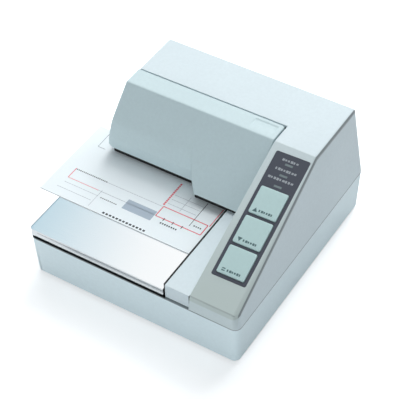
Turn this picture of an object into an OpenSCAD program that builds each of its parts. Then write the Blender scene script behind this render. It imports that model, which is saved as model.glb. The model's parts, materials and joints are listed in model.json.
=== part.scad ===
// Flat-bed slip printer: a sheet of paper lies on the steel table in front, its inner edge
// passes under the ribbon cover, and a needle head on a carriage prints it from above.
// X runs to the right, Y to the back and Z up. The feet stand on z = 0.

/* [Case] */
// Width of the case at the split line
case_w = 180; // [175:1:200]
// Depth of the case at the split line
case_d = 190.5; // [186:0.5:210]
// Height of the case without its feet
case_h = 98.8; // [96:0.2:110]
// Wall of both case shells
wall = 2.4; // [2:0.1:2.8]
// Radius of the case's upright corners
corner_r = 5.5; // [4:0.5:8]
// How far the lower case narrows towards its base, on each side
base_taper = 1.3; // [0.5:0.1:2]
// How far the side walls lean in from the split line to the roof
side_lean = 7.8; // [5:0.2:9]
// How far the rear wall leans in from the split line to the roof
rear_lean = 5.5; // [3:0.5:7]
// Radius of the roof's edges
edge_r = 2; // [1:0.25:3]
// Height of the feet below the case
foot_h = 2.7; // [2:0.1:4]
// Radius of a foot
foot_r = 7; // [5:0.5:9]
// Distance of a foot's middle from the sides of the case
foot_in = 15; // [13:0.5:20]

/* [Panel block] */
// Width of the panel block at the split line
block_w = 40.5; // [39:0.5:42]
// How far the block's inner wall leans to the left at the roof
block_lean = 2; // [0:0.5:2.5]
// Height of the block's front lip above the split line
lip_h = 12.8; // [12:0.2:14]
// Depth of the roof, from the fold to the rear edge
roof_d = 60.6; // [58:0.2:63]
// Width of the dark label on the slope
label_w = 27.7; // [26.5:0.1:29]
// Length of the label's upper part, with the lamps
legend_l = 28.2; // [25:0.1:30]
// Rim of the label below the last key
label_rim = 1.7; // [1.2:0.1:4]
// Distance of the label from the fold, along the slope
label_in = 6.2; // [4:0.1:7]
// Turn of the label, which follows the middle of the tapering slope
label_turn = 1.3; // [0:0.1:2]
// Thickness of the label
label_t = 0.4; // [0.3:0.05:0.6]
// Width of a key
key_w = 22.2; // [20:0.1:23]
// Length of a key along the slope
key_l = 22.2; // [21:0.1:24]
// Strip of label between two keys
key_web = 2.6; // [2:0.1:3]
// How far a key stands above the label
key_rise = 1.1; // [0.8:0.1:1.6]
// Travel of a key
key_travel = 0.8; // [0.5:0.1:1]
// Gap round a key
key_gap = 0.35; // [0.25:0.05:0.5]

/* [Ribbon cover] */
// Depth of the cover's flat top
cover_top_d = 18; // [16:0.5:20]
// Slope of the cover's front face
face_angle = 51.2; // [50:0.2:53]
// Gap between the cover's right part and the table
face_gap = 7.9; // [7:0.1:9]
// Gap between the cover's left part and the table
mouth_gap = 5; // [4.5:0.1:6]
// Height above the table where the left part's face turns upright
tuck_h = 29; // [26:0.5:32]
// Distance of the upright part's foot in front of the fold
tuck_in = 24.2; // [23:0.2:26]
// Distance of the step between the two parts from the cover's right end
step_in = 43.8; // [40:0.2:48]
// Width of the step
step_w = 9.8; // [7:0.2:12]
// Wall of the cover
cover_wall = 2.2; // [1.8:0.1:2.4]
// Seam round the cover
seam_gap = 0.7; // [0.5:0.1:0.9]
// Radius of the cover's lower left corner
cover_corner_r = 5; // [3:0.5:7]

/* [Slip table] */
// Height of the roof above the table
print_room = 54.8; // [54:0.2:60]
// Thickness of the table's sheet
sheet_t = 1; // [0.8:0.1:1.2]
// Height of the table's front flange
flange_h = 6.8; // [6:0.1:7]
// How far the flange ends above the lower case
flange_gap = 1.2; // [0.8:0.1:1.6]
// How far the table's front edge lies behind the case front
table_inset = 1.4; // [1:0.1:2]
// Radius of the table's front left corner
table_r = 3; // [2:0.5:4]
// Width of the flat strip between table and panel block
strip_w = 20.6; // [20:0.2:22]
// Height of the strip above the table
strip_rise = 4.8; // [4.5:0.1:5.2]
// Width of the black guide rail
guide_w = 1.4; // [1:0.1:1.6]

/* [Paper slip] */
// Width of the slip
slip_w = 135.5; // [130:0.5:145]
// Length of the slip, front to back
slip_l = 81; // [76:0.5:90]
// Thickness of the slip
slip_t = 0.2; // [0.15:0.05:0.3]
// Distance of the slip's inner edge in front of the cover's fold
slip_in = 4.65; // [3:0.05:8]
// Air between the slip and the table
slip_air = 0.15; // [0.1:0.05:0.2]

/* [Print mechanism] */
// Thickness of the chassis plates
plate_t = 1.6; // [1.2:0.1:2]
// Depth of the chassis, front to back
chassis_d = 60; // [58:0.5:62]
// Distance of the chassis' rear plate from its back
rear_plate_in = 12; // [11:0.5:13]
// Distance of the left chassis plate from the case's side
plate_in = 11; // [10:0.5:12]
// Width of the space for the gears, between the right chassis plate and the panel block
gear_room = 15.5; // [15:0.25:17]
// Radius of the carriage shaft
shaft_r = 3; // [2.5:0.25:3.5]
// Height of the carriage shaft above the table
shaft_h = 18.5; // [18:0.25:19]
// Width of the head carriage
carriage_w = 26; // [24:1:28]
// Length of a feed roller
roller_l = 14; // [12:0.5:16]
// Length of both motors
motor_l = 20; // [16:1:22]
// Radius of the feed motor
feed_motor_r = 12.5; // [10:0.5:13]
// Radius of the carriage motor
carriage_motor_r = 12; // [10:0.5:12.5]
// Radius of the feed rollers
roller_r = 6; // [5.5:0.1:6.2]
// Radius of the feed shafts
feed_shaft_r = 2.5; // [2:0.25:3]
// Radius of the pressure rollers
press_r = 4.5; // [4:0.1:4.8]
// Gear module of the feed train
gear_m = 0.75; // [0.7:0.05:0.8]
// Running clearance of shafts in their bores
run_gap = 0.05; // [0.03:0.01:0.08]
// Radius of the belt pulleys
pulley_r = 5; // [4.5:0.25:5.5]
// Thickness of the timing belt
belt_t = 1.2; // [1:0.1:1.4]
// Width of the timing belt
belt_w = 5; // [4:0.5:5.5]
// Width of the ribbon
ribbon_w = 8; // [6:0.5:10]
// Height of the ribbon cassette
cassette_h = 13; // [11:0.5:14]

/* [Hidden] */
$fn = 48;
hull_fn = 24;
eps = 0.01;

// ---- Places worked out from the sizes above -------------------------------------------------
right = case_w / 2;
left = -right;
front = -case_d / 2;
back = case_d / 2;
base_z = foot_h;
roof_z = base_z + case_h;
floor_z = base_z + wall;
table_z = roof_z - print_room;
split_z = table_z - flange_h - flange_gap;
split_h = split_z - base_z;
lip_z = split_z + lip_h;
lip_y = front + 1.75;
roof_back = back - rear_lean;
fold_y = roof_back - roof_d;
seam_y = fold_y + cover_top_d;
block_x = right - block_w;
slope_a = atan((roof_z - lip_z) / (fold_y - lip_y));
label_x = block_x + block_w * 0.448;
key_pitch = key_l + key_web;
label_l = legend_l + 3 * key_pitch + label_rim;
label_s = label_in + label_l / 2;
strip_z = table_z + strip_rise;
strip_x = block_x - strip_w;
strip_t = 2.2;
board_z = floor_z + 5;
guide_x = strip_x - guide_w;
slip_right = guide_x - 0.3;
slip_left = slip_right - slip_w;
slip_z = table_z + slip_air;
slip_top = slip_z + slip_t;
slip_back = fold_y - slip_in;
// The slip sticks out on the left, so the case stands this far right of the origin.
case_x = (right + slip_left) / -2;
cover_left = left + side_lean - 0.4;
cover_right = block_x - block_lean - seam_gap;
face_tan = tan(face_angle);
cover_back = seam_y - seam_gap;
tuck_foot_y = fold_y - tuck_in;
step_x1 = cover_right - step_in;
step_x0 = step_x1 - step_w;
hinge_y = seam_y + 9;
hinge_z = roof_z - 6;
chassis_front = slip_back - 18.5;
print_y = slip_back - 1.5;
front_feed_y = slip_back - 11;
rear_feed_y = front_feed_y + 20.5;
shaft_y = rear_feed_y + 4;
shaft_z = table_z + shaft_h;
nip_gap = 0.05;
feed_z = slip_z - nip_gap - roller_r;
press_z = slip_top + nip_gap + press_r;
chassis_z = table_z - 22.7;
plate_top = table_z + 31.3;
plate_left = right - plate_in;
plate_right = block_x - gear_room;
chassis_back = chassis_front + chassis_d;
rear_plate_y = chassis_back - rear_plate_in;
pocket_back = rear_plate_y + 4.5;
belt_y = rear_plate_y - 4;
belt_z = table_z + 15.8;
drive_x = plate_right - 18;
idler_x = -plate_left + 9;
carriage_x = -plate_left + 27;
pivot_y = rear_plate_y - 8;
pivot_z = table_z + 7.3;
bracket_x = plate_right + 10.4;
feed_teeth = 18;
pinion_teeth = 12;
gear_w = 4;
gear_x = plate_right + 3.6;
idler_y = (front_feed_y + rear_feed_y) / 2;
idler_z = feed_z - sqrt(pow(gear_m * feed_teeth, 2) - pow((rear_feed_y - front_feed_y) / 2, 2));
pinion_a = -22;
pinion_d = gear_m * (feed_teeth + pinion_teeth) / 2;
motor_y = idler_y + pinion_d * cos(pinion_a);
motor_z = idler_z + pinion_d * sin(pinion_a);
bay_z = base_z + 5;
plug_z = (bay_z + split_z) / 2;
bay_y = back - 8;
board_x0 = left + 22;
board_x1 = guide_x - 25.5;
board_y0 = front + 22;
board_y1 = chassis_front - 24;

// ---- Shared shapes --------------------------------------------------------------------------
function unit(v) = v / norm(v);
// The points of an arc of radius r that rounds corner p between its neighbours a and b.
function corner_arc(a, p, b, r, n) =
    r == 0 ? [p] :
    let (u = unit(a - p), v = unit(b - p), half = acos(u * v) / 2)
    let (c = p + unit(u + v) * r / sin(half))
    let (s = p + u * r / tan(half) - c, e = p + v * r / tan(half) - c)
    let (start = atan2(s.y, s.x), sweep = atan2(s.x * e.y - s.y * e.x, s * e))
    [for (k = [0:n]) c + r * [cos(start + sweep * k / n), sin(start + sweep * k / n)]];
// A polygon with each corner rounded by its own radius.
function rounded(pts, rs, n = 5) =
    [for (i = [0:len(pts) - 1])
        each corner_arc(pts[(i + len(pts) - 1) % len(pts)], pts[i], pts[(i + 1) % len(pts)], rs[i], n)];
function box_points(w, d) = [[-w / 2, -d / 2], [w / 2, -d / 2], [w / 2, d / 2], [-w / 2, d / 2]];
function rounded_box(w, d, r) = rounded(box_points(w, d), [r, r, r, r]);
// Turn of gear B that meshes with gear A, which lies at angle a_turn and sees B in direction dir.
function mesh_turn(a_teeth, a_turn, dir, b_teeth) =
    dir + 180 - (180 - a_teeth * (dir - a_turn)) / b_teeth;

// Stands the case beside the origin, which lies under the middle of case and slip together.
module placed() translate([case_x, 0, 0]) children();
module block(lo, hi) translate(lo) cube(hi - lo);
// A prism along X from a side view drawn in [y, z].
module side_prism(x0, x1, pts) translate([x0, 0, 0]) rotate([90, 0, 90]) linear_extrude(x1 - x0)
    polygon(pts);
// A prism along Y from a front view drawn in [x, z].
module front_prism(y0, y1, pts) translate([0, y1, 0]) rotate([90, 0, 0]) linear_extrude(y1 - y0)
    polygon(pts);
module rod_x(x0, x1, y, z, r) translate([x0, y, z]) rotate([0, 90, 0]) cylinder(r = r, h = x1 - x0);
module rod_y(y0, y1, x, z, r) translate([x, y0, z]) rotate([-90, 0, 0]) cylinder(r = r, h = y1 - y0);
module rod_z(z0, z1, x, y, r) translate([x, y, z0]) cylinder(r = r, h = z1 - z0);
// Places children on the sloping panel: X right, Y up the slope, Z out of it, origin at the label.
module slope_place() translate([label_x, fold_y, roof_z]) rotate([slope_a, 0, 0])
    translate([0, -label_s, 0]) rotate([0, 0, label_turn]) children();
module on_slope() placed() slope_place() children();
module slab(w, l, r, z0, z1) translate([0, 0, z0]) linear_extrude(z1 - z0) polygon(rounded_box(w, l, r));
module gear(teeth, width, bore) {
    root = gear_m * (teeth / 2 - 1.25);
    tip = gear_m * (teeth / 2 + 0.9);
    pitch = 360 / teeth;
    rotate([90, 0, 90]) difference() {
        linear_extrude(width) polygon([for (i = [0:teeth - 1]) for (c = [[-0.32, root], [-0.11, tip],
            [0.11, tip], [0.32, root]]) c[1] * [cos((i + c[0]) * pitch), sin((i + c[0]) * pitch)]]);
        translate([0, 0, -1]) cylinder(r = bore, h = width + 2);
    }
}

// ---- Case -----------------------------------------------------------------------------------
module tub(inset, z0) {
    w = case_w - 2 * base_taper - 2 * inset;
    d = case_d - 2 * base_taper - 2 * inset;
    translate([0, 0, z0]) linear_extrude(split_h, slices = 1, scale = [(w + 2 * base_taper) / w,
        (d + 2 * base_taper) / d])
        polygon(rounded_box(w, d, corner_r - inset / 2));
}
screw_places = [[right - 9, front + 32], [right - 9, 8], [right - 9, back - 24], [left + 9, back - 24]];
boss_r = 4;
strip_posts = [[block_x - 10, front + 30], [block_x - 10, board_y1]];
board_posts = [for (x = [board_x0 + 6, board_x1 - 6], y = [board_y0 + 6, board_y1 - 8]) [x, y]];
chassis_posts = [for (x = [-plate_left + 6, plate_right - 6], y = [chassis_front + 6,
    chassis_back - 7]) [x, y]];
hatch = [34, 16];
hatch_x = (board_posts[0].x + board_posts[2].x) / 2;
hatch_y = (front + board_y1) / 2;
bay_x0 = left + 16;
bay_x1 = right - 28;
table_posts = [for (x = [left + 14, guide_x - 17.5], y = [front + 14, board_y1 - 2]) [x, y]];
foot_places = [for (x = [-1, 1], y = [-1, 1]) [x * (right - foot_in), y * (back - foot_in + 1)]];
module lower_case() color([0.80, 0.85, 0.86]) placed() {
    difference() {
        union() {
            difference() {
                tub(0, base_z);
                tub(wall, floor_z);
            }
            for (p = screw_places) rod_z(floor_z - eps, split_z, p.x, p.y, boss_r);
            for (p = table_posts) rod_z(floor_z - eps, table_z - sheet_t, p.x, p.y, 3);
            for (p = strip_posts) rod_z(floor_z - eps, strip_z - strip_t, p.x, p.y, 3);
            for (p = board_posts) rod_z(floor_z - eps, board_z, p.x, p.y, 3);
            for (p = chassis_posts) rod_z(floor_z - eps, chassis_z, p.x, p.y, 3.5);
            block([bay_x0 - 2, bay_y - 3.5, floor_z - eps], [bay_x1 + 2,
                back - base_taper - wall / 2, split_z]);
        }
        for (p = screw_places) {
            rod_z(base_z - 1, split_z + 1, p.x, p.y, 1.7);
            rod_z(base_z - 1, base_z + 20, p.x, p.y, 2.9);
        }
        for (p = foot_places) rod_z(base_z - 1, base_z + 0.8, p.x, p.y, foot_r + 0.1);
        translate([hatch_x, hatch_y, 0]) {
            slab(hatch.x, hatch.y, 1, base_z - 1, base_z + wall / 2);
            slab(hatch.x - 4, hatch.y - 4, 1, base_z - 1, floor_z + 1);
        }
        block([bay_x0, bay_y - 4, bay_z], [bay_x1, back + 2, split_z + 1]);
    }
}
module envelope(inset) {
    r_low = corner_r - inset / 2;
    r_top = max(edge_r - inset / 2, 0.8);
    top_w = right - side_lean - inset - r_top;
    lip_w = right - side_lean * lip_h / (roof_z - split_z) - inset - r_low;
    hull() {
        for (s = [-1, 1]) {
            for (y = [front + inset + r_low, back - inset - r_low])
                translate([s * (right - inset - r_low), y, split_z - 2 * inset]) cylinder(r = r_low,
                    h = 0.5, $fn = hull_fn);
            translate([s * lip_w, lip_y + inset + r_low, lip_z - inset - 1]) cylinder(r = r_low,
                h = 1, $fn = hull_fn);
            translate([s * top_w, fold_y + inset * tan(slope_a / 2), roof_z - inset - r_top])
                sphere(r_top, $fn = hull_fn);
            translate([s * top_w, roof_back - inset - r_top, roof_z - inset - r_top]) sphere(r_top,
                $fn = hull_fn);
        }
    }
}
// The space of the panel block, right of its leaning inner wall.
module block_side(inset, y1) front_prism(front - 5, y1,
    [[block_x + inset, split_z - 9], [block_x + inset, strip_z], [block_x - block_lean + inset, roof_z + 5],
    [right + 20, roof_z + 5], [right + 20, split_z - 9]]);
// Middle of key i, counted from the lowest one, on the label.
function key_y(i) = label_rim - label_l / 2 + (i + 0.5) * key_pitch;
module key_windows(z0, z1, gap) for (i = [0:2])
    translate([0, key_y(i), 0]) slab(key_w + 2 * gap, key_l + 2 * gap, 1.2, z0, z1);
lens_rows = [for (i = [0:2]) label_l / 2 - 8.1 - i * (legend_l - 10.1) / 2];
lens_w = 6.2;
lens_l = 1.6;
label_r = 1.4;
board_depth = 13.6;
board_t = 1.6;
post_r = 1.8;
module upper_case() color([0.86, 0.90, 0.92]) {
    placed() difference() {
        union() {
            difference() {
                intersection() {
                    envelope(0);
                    union() {
                        block([left - 1, seam_y, split_z], [right + 1, back + 1, roof_z + 1]);
                        block_side(0, seam_y + 1);
                        rod_x(left, cover_left + cover_wall, hinge_y, hinge_z, hinge_arm_in - 0.55);
                    }
                }
                intersection() {
                    envelope(wall);
                    union() {
                        block([left - 1, seam_y - 1, split_z - 9], [right + 1, back + 1, roof_z + 1]);
                        block_side(wall, seam_y + 1);
                        rod_x(left, cover_left + cover_wall + 1, hinge_y, hinge_z, hinge_arm_in);
                    }
                }
            }
            for (p = screw_places) {
                rod_z(split_z, split_z + 7, p.x, p.y, boss_r);
                rib_x = sign(p.x) * (right - wall / 2 - side_lean * 7 / (roof_z - split_z));
                block([min(p.x, rib_x), p.y - 1, split_z], [max(p.x, rib_x), p.y + 1, split_z + 7]);
            }
            for (x = hinge_ears) {
                rod_x(x, x + ear_w, hinge_y, hinge_z, hinge_r);
                block([x, hinge_y - hinge_r, hinge_z], [x + ear_w, hinge_y + hinge_r, roof_z - wall / 2]);
            }
        }
        for (p = screw_places) rod_z(split_z - 1, split_z + 6, p.x, p.y, 1.2);
        for (x = hinge_ears) rod_x(x - 1, x + ear_w + 1, hinge_y, hinge_z, hinge_pin_r + run_gap);
        // Mouth of the paper pocket in the left wall.
        block([left - 2, seam_y - 2, table_z - 2.3], [left + 14, pocket_back, table_z + mouth_gap]);
        // Room for strip and gear train below the inner wall.
        block([block_x - 1, front + 7, split_z - 10], [block_x + wall + 0.6, seam_y + 2,
            strip_z - strip_t]);
        // Louvres high in the rear wall.
        for (i = [0:11]) block([left + 28 + 8 * i, back - 12, roof_z - 34], [left + 31.5 + 8 * i,
            back + 2, roof_z - 20]);
        slope_place() {
            slab(label_w + 0.2, label_l + 0.2, label_r, -label_t, 3);
            key_windows(-wall - 3, 1, key_gap);
            for (y = lens_rows) translate([0, y, 0]) slab(lens_w + 1.2, lens_l + 0.8, 0.6, -wall - 3, 1);
        }
    }
    // Posts that carry the key board.
    on_slope() for (x = [-1, 1] * 12, y = [post_r - 1.5 - label_l / 2, label_l / 2 - 1.7])
        translate([x, y, -board_depth + board_t]) difference() {
        cylinder(r = post_r, h = board_depth - board_t - wall / 2 - label_t);
        translate([0, 0, -1]) cylinder(r = 0.8, h = 6);
    }
}

// ---- Ribbon cover ---------------------------------------------------------------------------
ear_w = 2.6;
hinge_r = 2.8;
hinge_pin_r = 1.5;
hinge_arm_w = 1.8;
hinge_arm_in = 11;
hinge_arm_out = 13.6;
left_arm_x = cover_left + cover_wall + 1.2;
right_arm_x = cover_right - cover_wall - 0.5 - hinge_arm_w;
hinge_ears = [left_arm_x + hinge_arm_w + 0.2, right_arm_x - 0.2 - ear_w];
// Solid form of the cover, shrunk by inset on its outer faces. A shrunk form runs out at the
// open back and base.
module cover_form(inset) {
    out = inset > 0 ? 10 : 0;
    face_drop = roof_z - table_z - face_gap;
    face_foot = fold_y - face_drop / face_tan + inset / sin(face_angle);
    fold = fold_y + inset / sin(face_angle) - inset / face_tan;
    mouth_z = table_z + mouth_gap - out;
    face_z = table_z + face_gap - out;
    difference() {
        intersection() {
            side_prism(cover_left - 1, cover_right + 1, rounded(
                [[cover_back + out, roof_z - inset], [fold, roof_z - inset],
                    [face_foot - out / face_tan, face_z],
                [face_foot - out / face_tan, mouth_z], [cover_back - 1 + out, mouth_z],
                [cover_back - 1 + out, roof_z - cover_wall - out]], [0, 1.6, 0, 0, 0, 0]));
            front_prism(face_foot - 20, seam_y + 25, rounded(
                [[cover_left + inset, roof_z + 1], [cover_left + inset, mouth_z], [step_x0, mouth_z],
                    [step_x1, face_z],
                [cover_right - inset, face_z], [cover_right - inset, roof_z + 1]],
                [0, inset > 0 ? 0 : cover_corner_r, inset > 0 ? 0 : 3, inset > 0 ? 0 : 3, 0, 0]));
        }
        tuck_cut(inset);
    }
}
// The wedge in front of the upright left part of the face.
module tuck_cut(inset) {
    top = table_z + tuck_h;
    top_y = fold_y - (roof_z - top) / face_tan + inset / sin(face_angle);
    low = table_z + mouth_gap - 12;
    hull() {
        front_prism(top_y - 6, top_y, [[left - 5, top], [step_x0 - 6.6 + inset, top],
            [step_x0 - 6.6 + inset, top + 0.1], [left - 5, top + 0.1]]);
        front_prism(top_y - 50, tuck_foot_y + inset, [[left - 5, low], [step_x0 + 2.8 * step_w + inset, low],
            [step_x0 + inset, table_z + 15], [left - 5, table_z + 15]]);
    }
}
// Gooseneck that passes below the roof's edge to the hinge pin.
module hinge_arm(x) {
    rod_x(x, x + hinge_arm_w, hinge_y, hinge_z, hinge_r);
    translate([x, hinge_y, hinge_z]) rotate([90, 0, 90]) linear_extrude(hinge_arm_w) {
        intersection() {
            difference() {
                circle(hinge_arm_out);
                circle(hinge_arm_in);
            }
            polygon([[0, 0], [-30, 5.5], [-30, -30], [-2, -30]]);
        }
        polygon([[-hinge_r, 0], [-4.5, -hinge_arm_in], [-1, -hinge_arm_out + 0.3], [hinge_r, 0]]);
    }
}
module ribbon_cover() color([0.70, 0.77, 0.77]) placed() {
    difference() {
        cover_form(0);
        cover_form(cover_wall);
        // Room for the roof's edge as the cover swings up.
        rod_x(cover_left - 1, cover_right + 1, hinge_y, hinge_z, hinge_arm_in - 0.05);
        // Shallow finger rest in the flat top.
        side_prism(cover_right - 23, cover_right - 3.6, [[seam_y - 4, roof_z + 1], [seam_y - 4,
            roof_z - 1.1],
            [fold_y + 1.5, roof_z - 0.1], [fold_y + 1.5, roof_z + 1]]);
    }
    hinge_arm(left_arm_x);
    hinge_arm(right_arm_x);
    for (x = [[cover_left + cover_wall / 2, left_arm_x + hinge_arm_w], [right_arm_x,
        cover_right - cover_wall / 2]])
        block([x[0], hinge_y - hinge_arm_out, hinge_z - 8], [x[1], hinge_y - hinge_arm_in, hinge_z + 2]);
    rod_x(left_arm_x + eps, hinge_ears[0] + ear_w, hinge_y, hinge_z, hinge_pin_r);
    rod_x(hinge_ears[1], right_arm_x + eps, hinge_y, hinge_z, hinge_pin_r);
    // Stiffening ribs below the flat top.
    for (x = [for (i = [1:3]) cover_left + i * (cover_right - cover_left) / 4]) block([x, fold_y + 4,
        roof_z - cover_wall - 2], [x + 1.4, cover_back - 1.5, roof_z - cover_wall + eps]);
}

// ---- Table, strip and guide -----------------------------------------------------------------
module slip_table() color([0.82, 0.84, 0.88]) placed() {
    table_end = tuck_foot_y - 3;
    y0 = front + table_inset;
    difference() {
        union() {
            block([left - 0.4, y0, table_z - sheet_t], [guide_x - 0.1, table_end, table_z]);
            block([left - 0.4, y0, table_z - flange_h], [guide_x - 1, y0 + sheet_t, table_z]);
            block([left - 0.4, y0, table_z - flange_h], [left - 0.4 + sheet_t, table_end, table_z]);
        }
        translate([left - 0.4, y0, table_z - flange_h - 1]) difference() {
            translate([-1, -1, 0]) cube([table_r + 1, table_r + 1, flange_h + 2]);
            translate([table_r, table_r, -1]) cylinder(r = table_r, h = flange_h + 4);
        }
    }
}
module table_strip() color([0.80, 0.85, 0.86]) placed() {
    block([strip_x, lip_y, strip_z - strip_t], [block_x - 0.3, chassis_front - 2.5, strip_z]);
    block([strip_x, lip_y, split_z + 0.3], [block_x - 0.3, lip_y + strip_t, strip_z]);
    block([strip_x, lip_y, table_z - 2], [strip_x + 1.6, chassis_front - 2.5, strip_z]);
}
module slip_guide() color([0.08, 0.08, 0.09]) placed()
    block([guide_x, front + 2.65, table_z - 2.7], [strip_x, chassis_front - 2.5, strip_z]);

// ---- Panel ----------------------------------------------------------------------------------
module panel_label() color([0.20, 0.20, 0.24]) on_slope() difference() {
    slab(label_w, label_l, label_r, -label_t, 0.1);
    key_windows(-2, 2, key_gap);
    for (y = lens_rows) translate([0, y, 0]) slab(lens_w + 0.2, lens_l + 0.2, 0.4, -2, 2);
}
module key(index) color([0.72, 0.79, 0.77]) on_slope() translate([0, key_y(index), 0]) {
    flange_top = -wall - 0.7;
    slab(key_w, key_l, 1, flange_top - 0.5, key_rise);
    slab(key_w + 2.4, key_l + 1.2, 1, flange_top - 1.2, flange_top);
    translate([0, 0, -key_stem]) cylinder(r = 2.5, h = key_stem + flange_top - 0.5);
}
module forward_key() key(2);
module reverse_key() key(1);
module release_key() key(0);
key_stem = 9;
module indicator_lenses() color([0.65, 0.75, 0.70]) on_slope() for (y = lens_rows) translate([0, y, 0]) {
    slab(lens_w, lens_l, 0.3, -label_t - 0.1, 0.1);
    slab(lens_w + 1, lens_l + 0.6, 0.5, -board_depth + lamp_h, -label_t);
}
module panel_board() color([0.13, 0.42, 0.27]) on_slope() slab(label_w + 0.3, label_l + 3, 1,
    -board_depth, -board_depth + board_t);
lamp_h = 4;
module panel_switches() color([0.15, 0.15, 0.16]) on_slope() {
    for (i = [0:2]) translate([0, key_y(i), 0]) {
        slab(6, 6, 0.3, -board_depth + board_t, -board_depth + 3.2);
        translate([0, 0, -board_depth + 3.1]) cylinder(r = 1.7,
            h = board_depth - key_stem - 3.15 - key_travel);
    }
    for (y = lens_rows) translate([0, y, 0]) slab(3, 2, 0.2, -board_depth + board_t, -board_depth + lamp_h);
}

// ---- Underside and rear ---------------------------------------------------------------------
module rubber_feet() color([0.12, 0.12, 0.13]) placed() for (p = foot_places) rod_z(0, base_z + 0.8,
    p.x, p.y, foot_r);
module case_screws() color([0.75, 0.76, 0.78]) placed() for (p = screw_places) {
    rod_z(base_z + 17.5, base_z + 20, p.x, p.y, 2.7);
    rod_z(base_z + 20 - eps, split_z + 6, p.x, p.y, 1.2);
}
module switch_hatch() color([0.75, 0.79, 0.80]) placed() translate([hatch_x, hatch_y, 0])
    slab(hatch.x - 0.4, hatch.y - 0.4, 1, base_z, base_z + wall / 2);
// Inlet, jack, earth screw, connector and switch stand side by side with equal gaps.
rear_widths = [16, 13, 5.2, 52.6, 13];
function total(v, n) = n == 0 ? 0 : v[n - 1] + total(v, n - 1);
rear_gap = (bay_x1 - bay_x0 - total(rear_widths, 5)) / 6;
function rear_x(i) = bay_x0 + (i + 1) * rear_gap + total(rear_widths, i) + rear_widths[i] / 2;
inlet_x = rear_x(0);
jack_x = rear_x(1);
earth_x = rear_x(2);
plug_x = rear_x(3);
rocker_x = rear_x(4);
rocker_h = 8.5;
module connector_plate() color([0.74, 0.75, 0.77]) placed() difference() {
    union() {
        block([bay_x0, bay_y - 1.2, bay_z], [bay_x1, bay_y, split_z]);
        block([bay_x0, bay_y - 1.2, split_z - 1.2], [bay_x1, back - wall - 0.1, split_z]);
    }
    rod_y(bay_y - 3, bay_y + 3, inlet_x, plug_z, 6.6);
    block([jack_x - 6.6, bay_y - 3, plug_z - 6.1], [jack_x + 6.6, bay_y + 3, plug_z + 6.1]);
    block([plug_x - 20.5, bay_y - 3, plug_z - 5.2], [plug_x + 20.5, bay_y + 3, plug_z + 5.2]);
    for (s = [-1, 1]) rod_y(bay_y - 3, bay_y + 3, plug_x + s * 23.55, plug_z, 1.6);
    block([rocker_x - 5.6, bay_y - 3, plug_z - rocker_h + 0.9], [rocker_x + 5.6, bay_y + 3,
        plug_z + rocker_h - 0.9]);
    rod_y(bay_y - 3, bay_y + 3, earth_x, plug_z, 1.3);
}
module interface_connector() color([0.70, 0.70, 0.72]) placed() difference() {
    union() {
        block([plug_x - 20.3, bay_y - 12, plug_z - 5], [plug_x + 20.3, bay_y, plug_z + 5]);
        front_prism(bay_y - eps, bay_y + 5.6, rounded([for (p = [[-19.5, 4.2], [-18, -4.2], [18,
            -4.2], [19.5, 4.2]])
            [plug_x + p[0], plug_z + p[1]]], [1.5, 1.5, 1.5, 1.5]));
    }
    for (i = [0:12]) rod_y(bay_y + 1, bay_y + 7, plug_x + (i - 6) * 2.77, plug_z + 1.42, 0.6);
    for (i = [0:11]) rod_y(bay_y + 1, bay_y + 7, plug_x + (i - 5.5) * 2.77, plug_z - 1.42, 0.6);
}
module jackscrews() color([0.8, 0.8, 0.82]) placed() for (s = [-1, 1]) translate([plug_x + s * 23.55,
    bay_y, plug_z])
    rotate([-90, 0, 0]) {
    difference() {
        cylinder(r = 2.75, h = 5, $fn = 6);
        translate([0, 0, 0.5]) cylinder(r = 1.25, h = 6);
    }
    translate([0, 0, -4]) cylinder(r = 1.5, h = 4 + eps);
}
module power_inlet() color([0.14, 0.14, 0.15]) placed() difference() {
    union() {
        rod_y(bay_y - 12, bay_y + 1.5, inlet_x, plug_z, 6.5);
        rod_y(bay_y, bay_y + 1.5, inlet_x, plug_z, 8);
    }
    rod_y(bay_y - 8, bay_y + 3, inlet_x, plug_z, 4.6);
}
module drawer_jack() color([0.16, 0.16, 0.17]) placed() difference() {
    block([jack_x - 6.5, bay_y - 14, plug_z - 6], [jack_x + 6.5, bay_y + 1, plug_z + 6]);
    block([jack_x - 4.8, bay_y - 10, plug_z - 3.6], [jack_x + 4.8, bay_y + 3, plug_z + 3]);
}
module power_switch() color([0.12, 0.12, 0.13]) placed() difference() {
    union() {
        block([rocker_x - 5.5, bay_y - 13, plug_z - rocker_h + 1], [rocker_x + 5.5, bay_y + 0.2,
            plug_z + rocker_h - 1]);
        block([rocker_x - 6.5, bay_y, plug_z - rocker_h], [rocker_x + 6.5, bay_y + 1.2, plug_z + rocker_h]);
    }
    block([rocker_x - 4.4, bay_y - 5, plug_z - rocker_h + 1.8], [rocker_x + 4.4, bay_y + 3,
        plug_z + rocker_h - 1.8]);
    rod_x(rocker_x - 5, rocker_x + 5, bay_y - 1.2, plug_z, 1 + run_gap);
}
module power_rocker() color([0.18, 0.18, 0.19]) placed() {
    side_prism(rocker_x - 4.1, rocker_x + 4.1, [[bay_y - 2.4, plug_z - 5.2], [bay_y - 2.4, plug_z + 4.8],
        [bay_y - 0.2, plug_z + 5.6], [bay_y + 1.3, plug_z], [bay_y + 2.6, plug_z - 5.6]]);
    rod_x(rocker_x - 5, rocker_x + 5, bay_y - 1.2, plug_z, 1);
}
module ground_screw() color([0.80, 0.80, 0.82]) placed() {
    rod_y(bay_y, bay_y + 2, earth_x, plug_z, 2.6);
    rod_y(bay_y - 5, bay_y + eps, earth_x, plug_z, 1.2);
}
module main_board() color([0.13, 0.42, 0.27]) placed()
    block([board_x0, board_y0, board_z], [board_x1, board_y1, board_z + board_t]);
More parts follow.
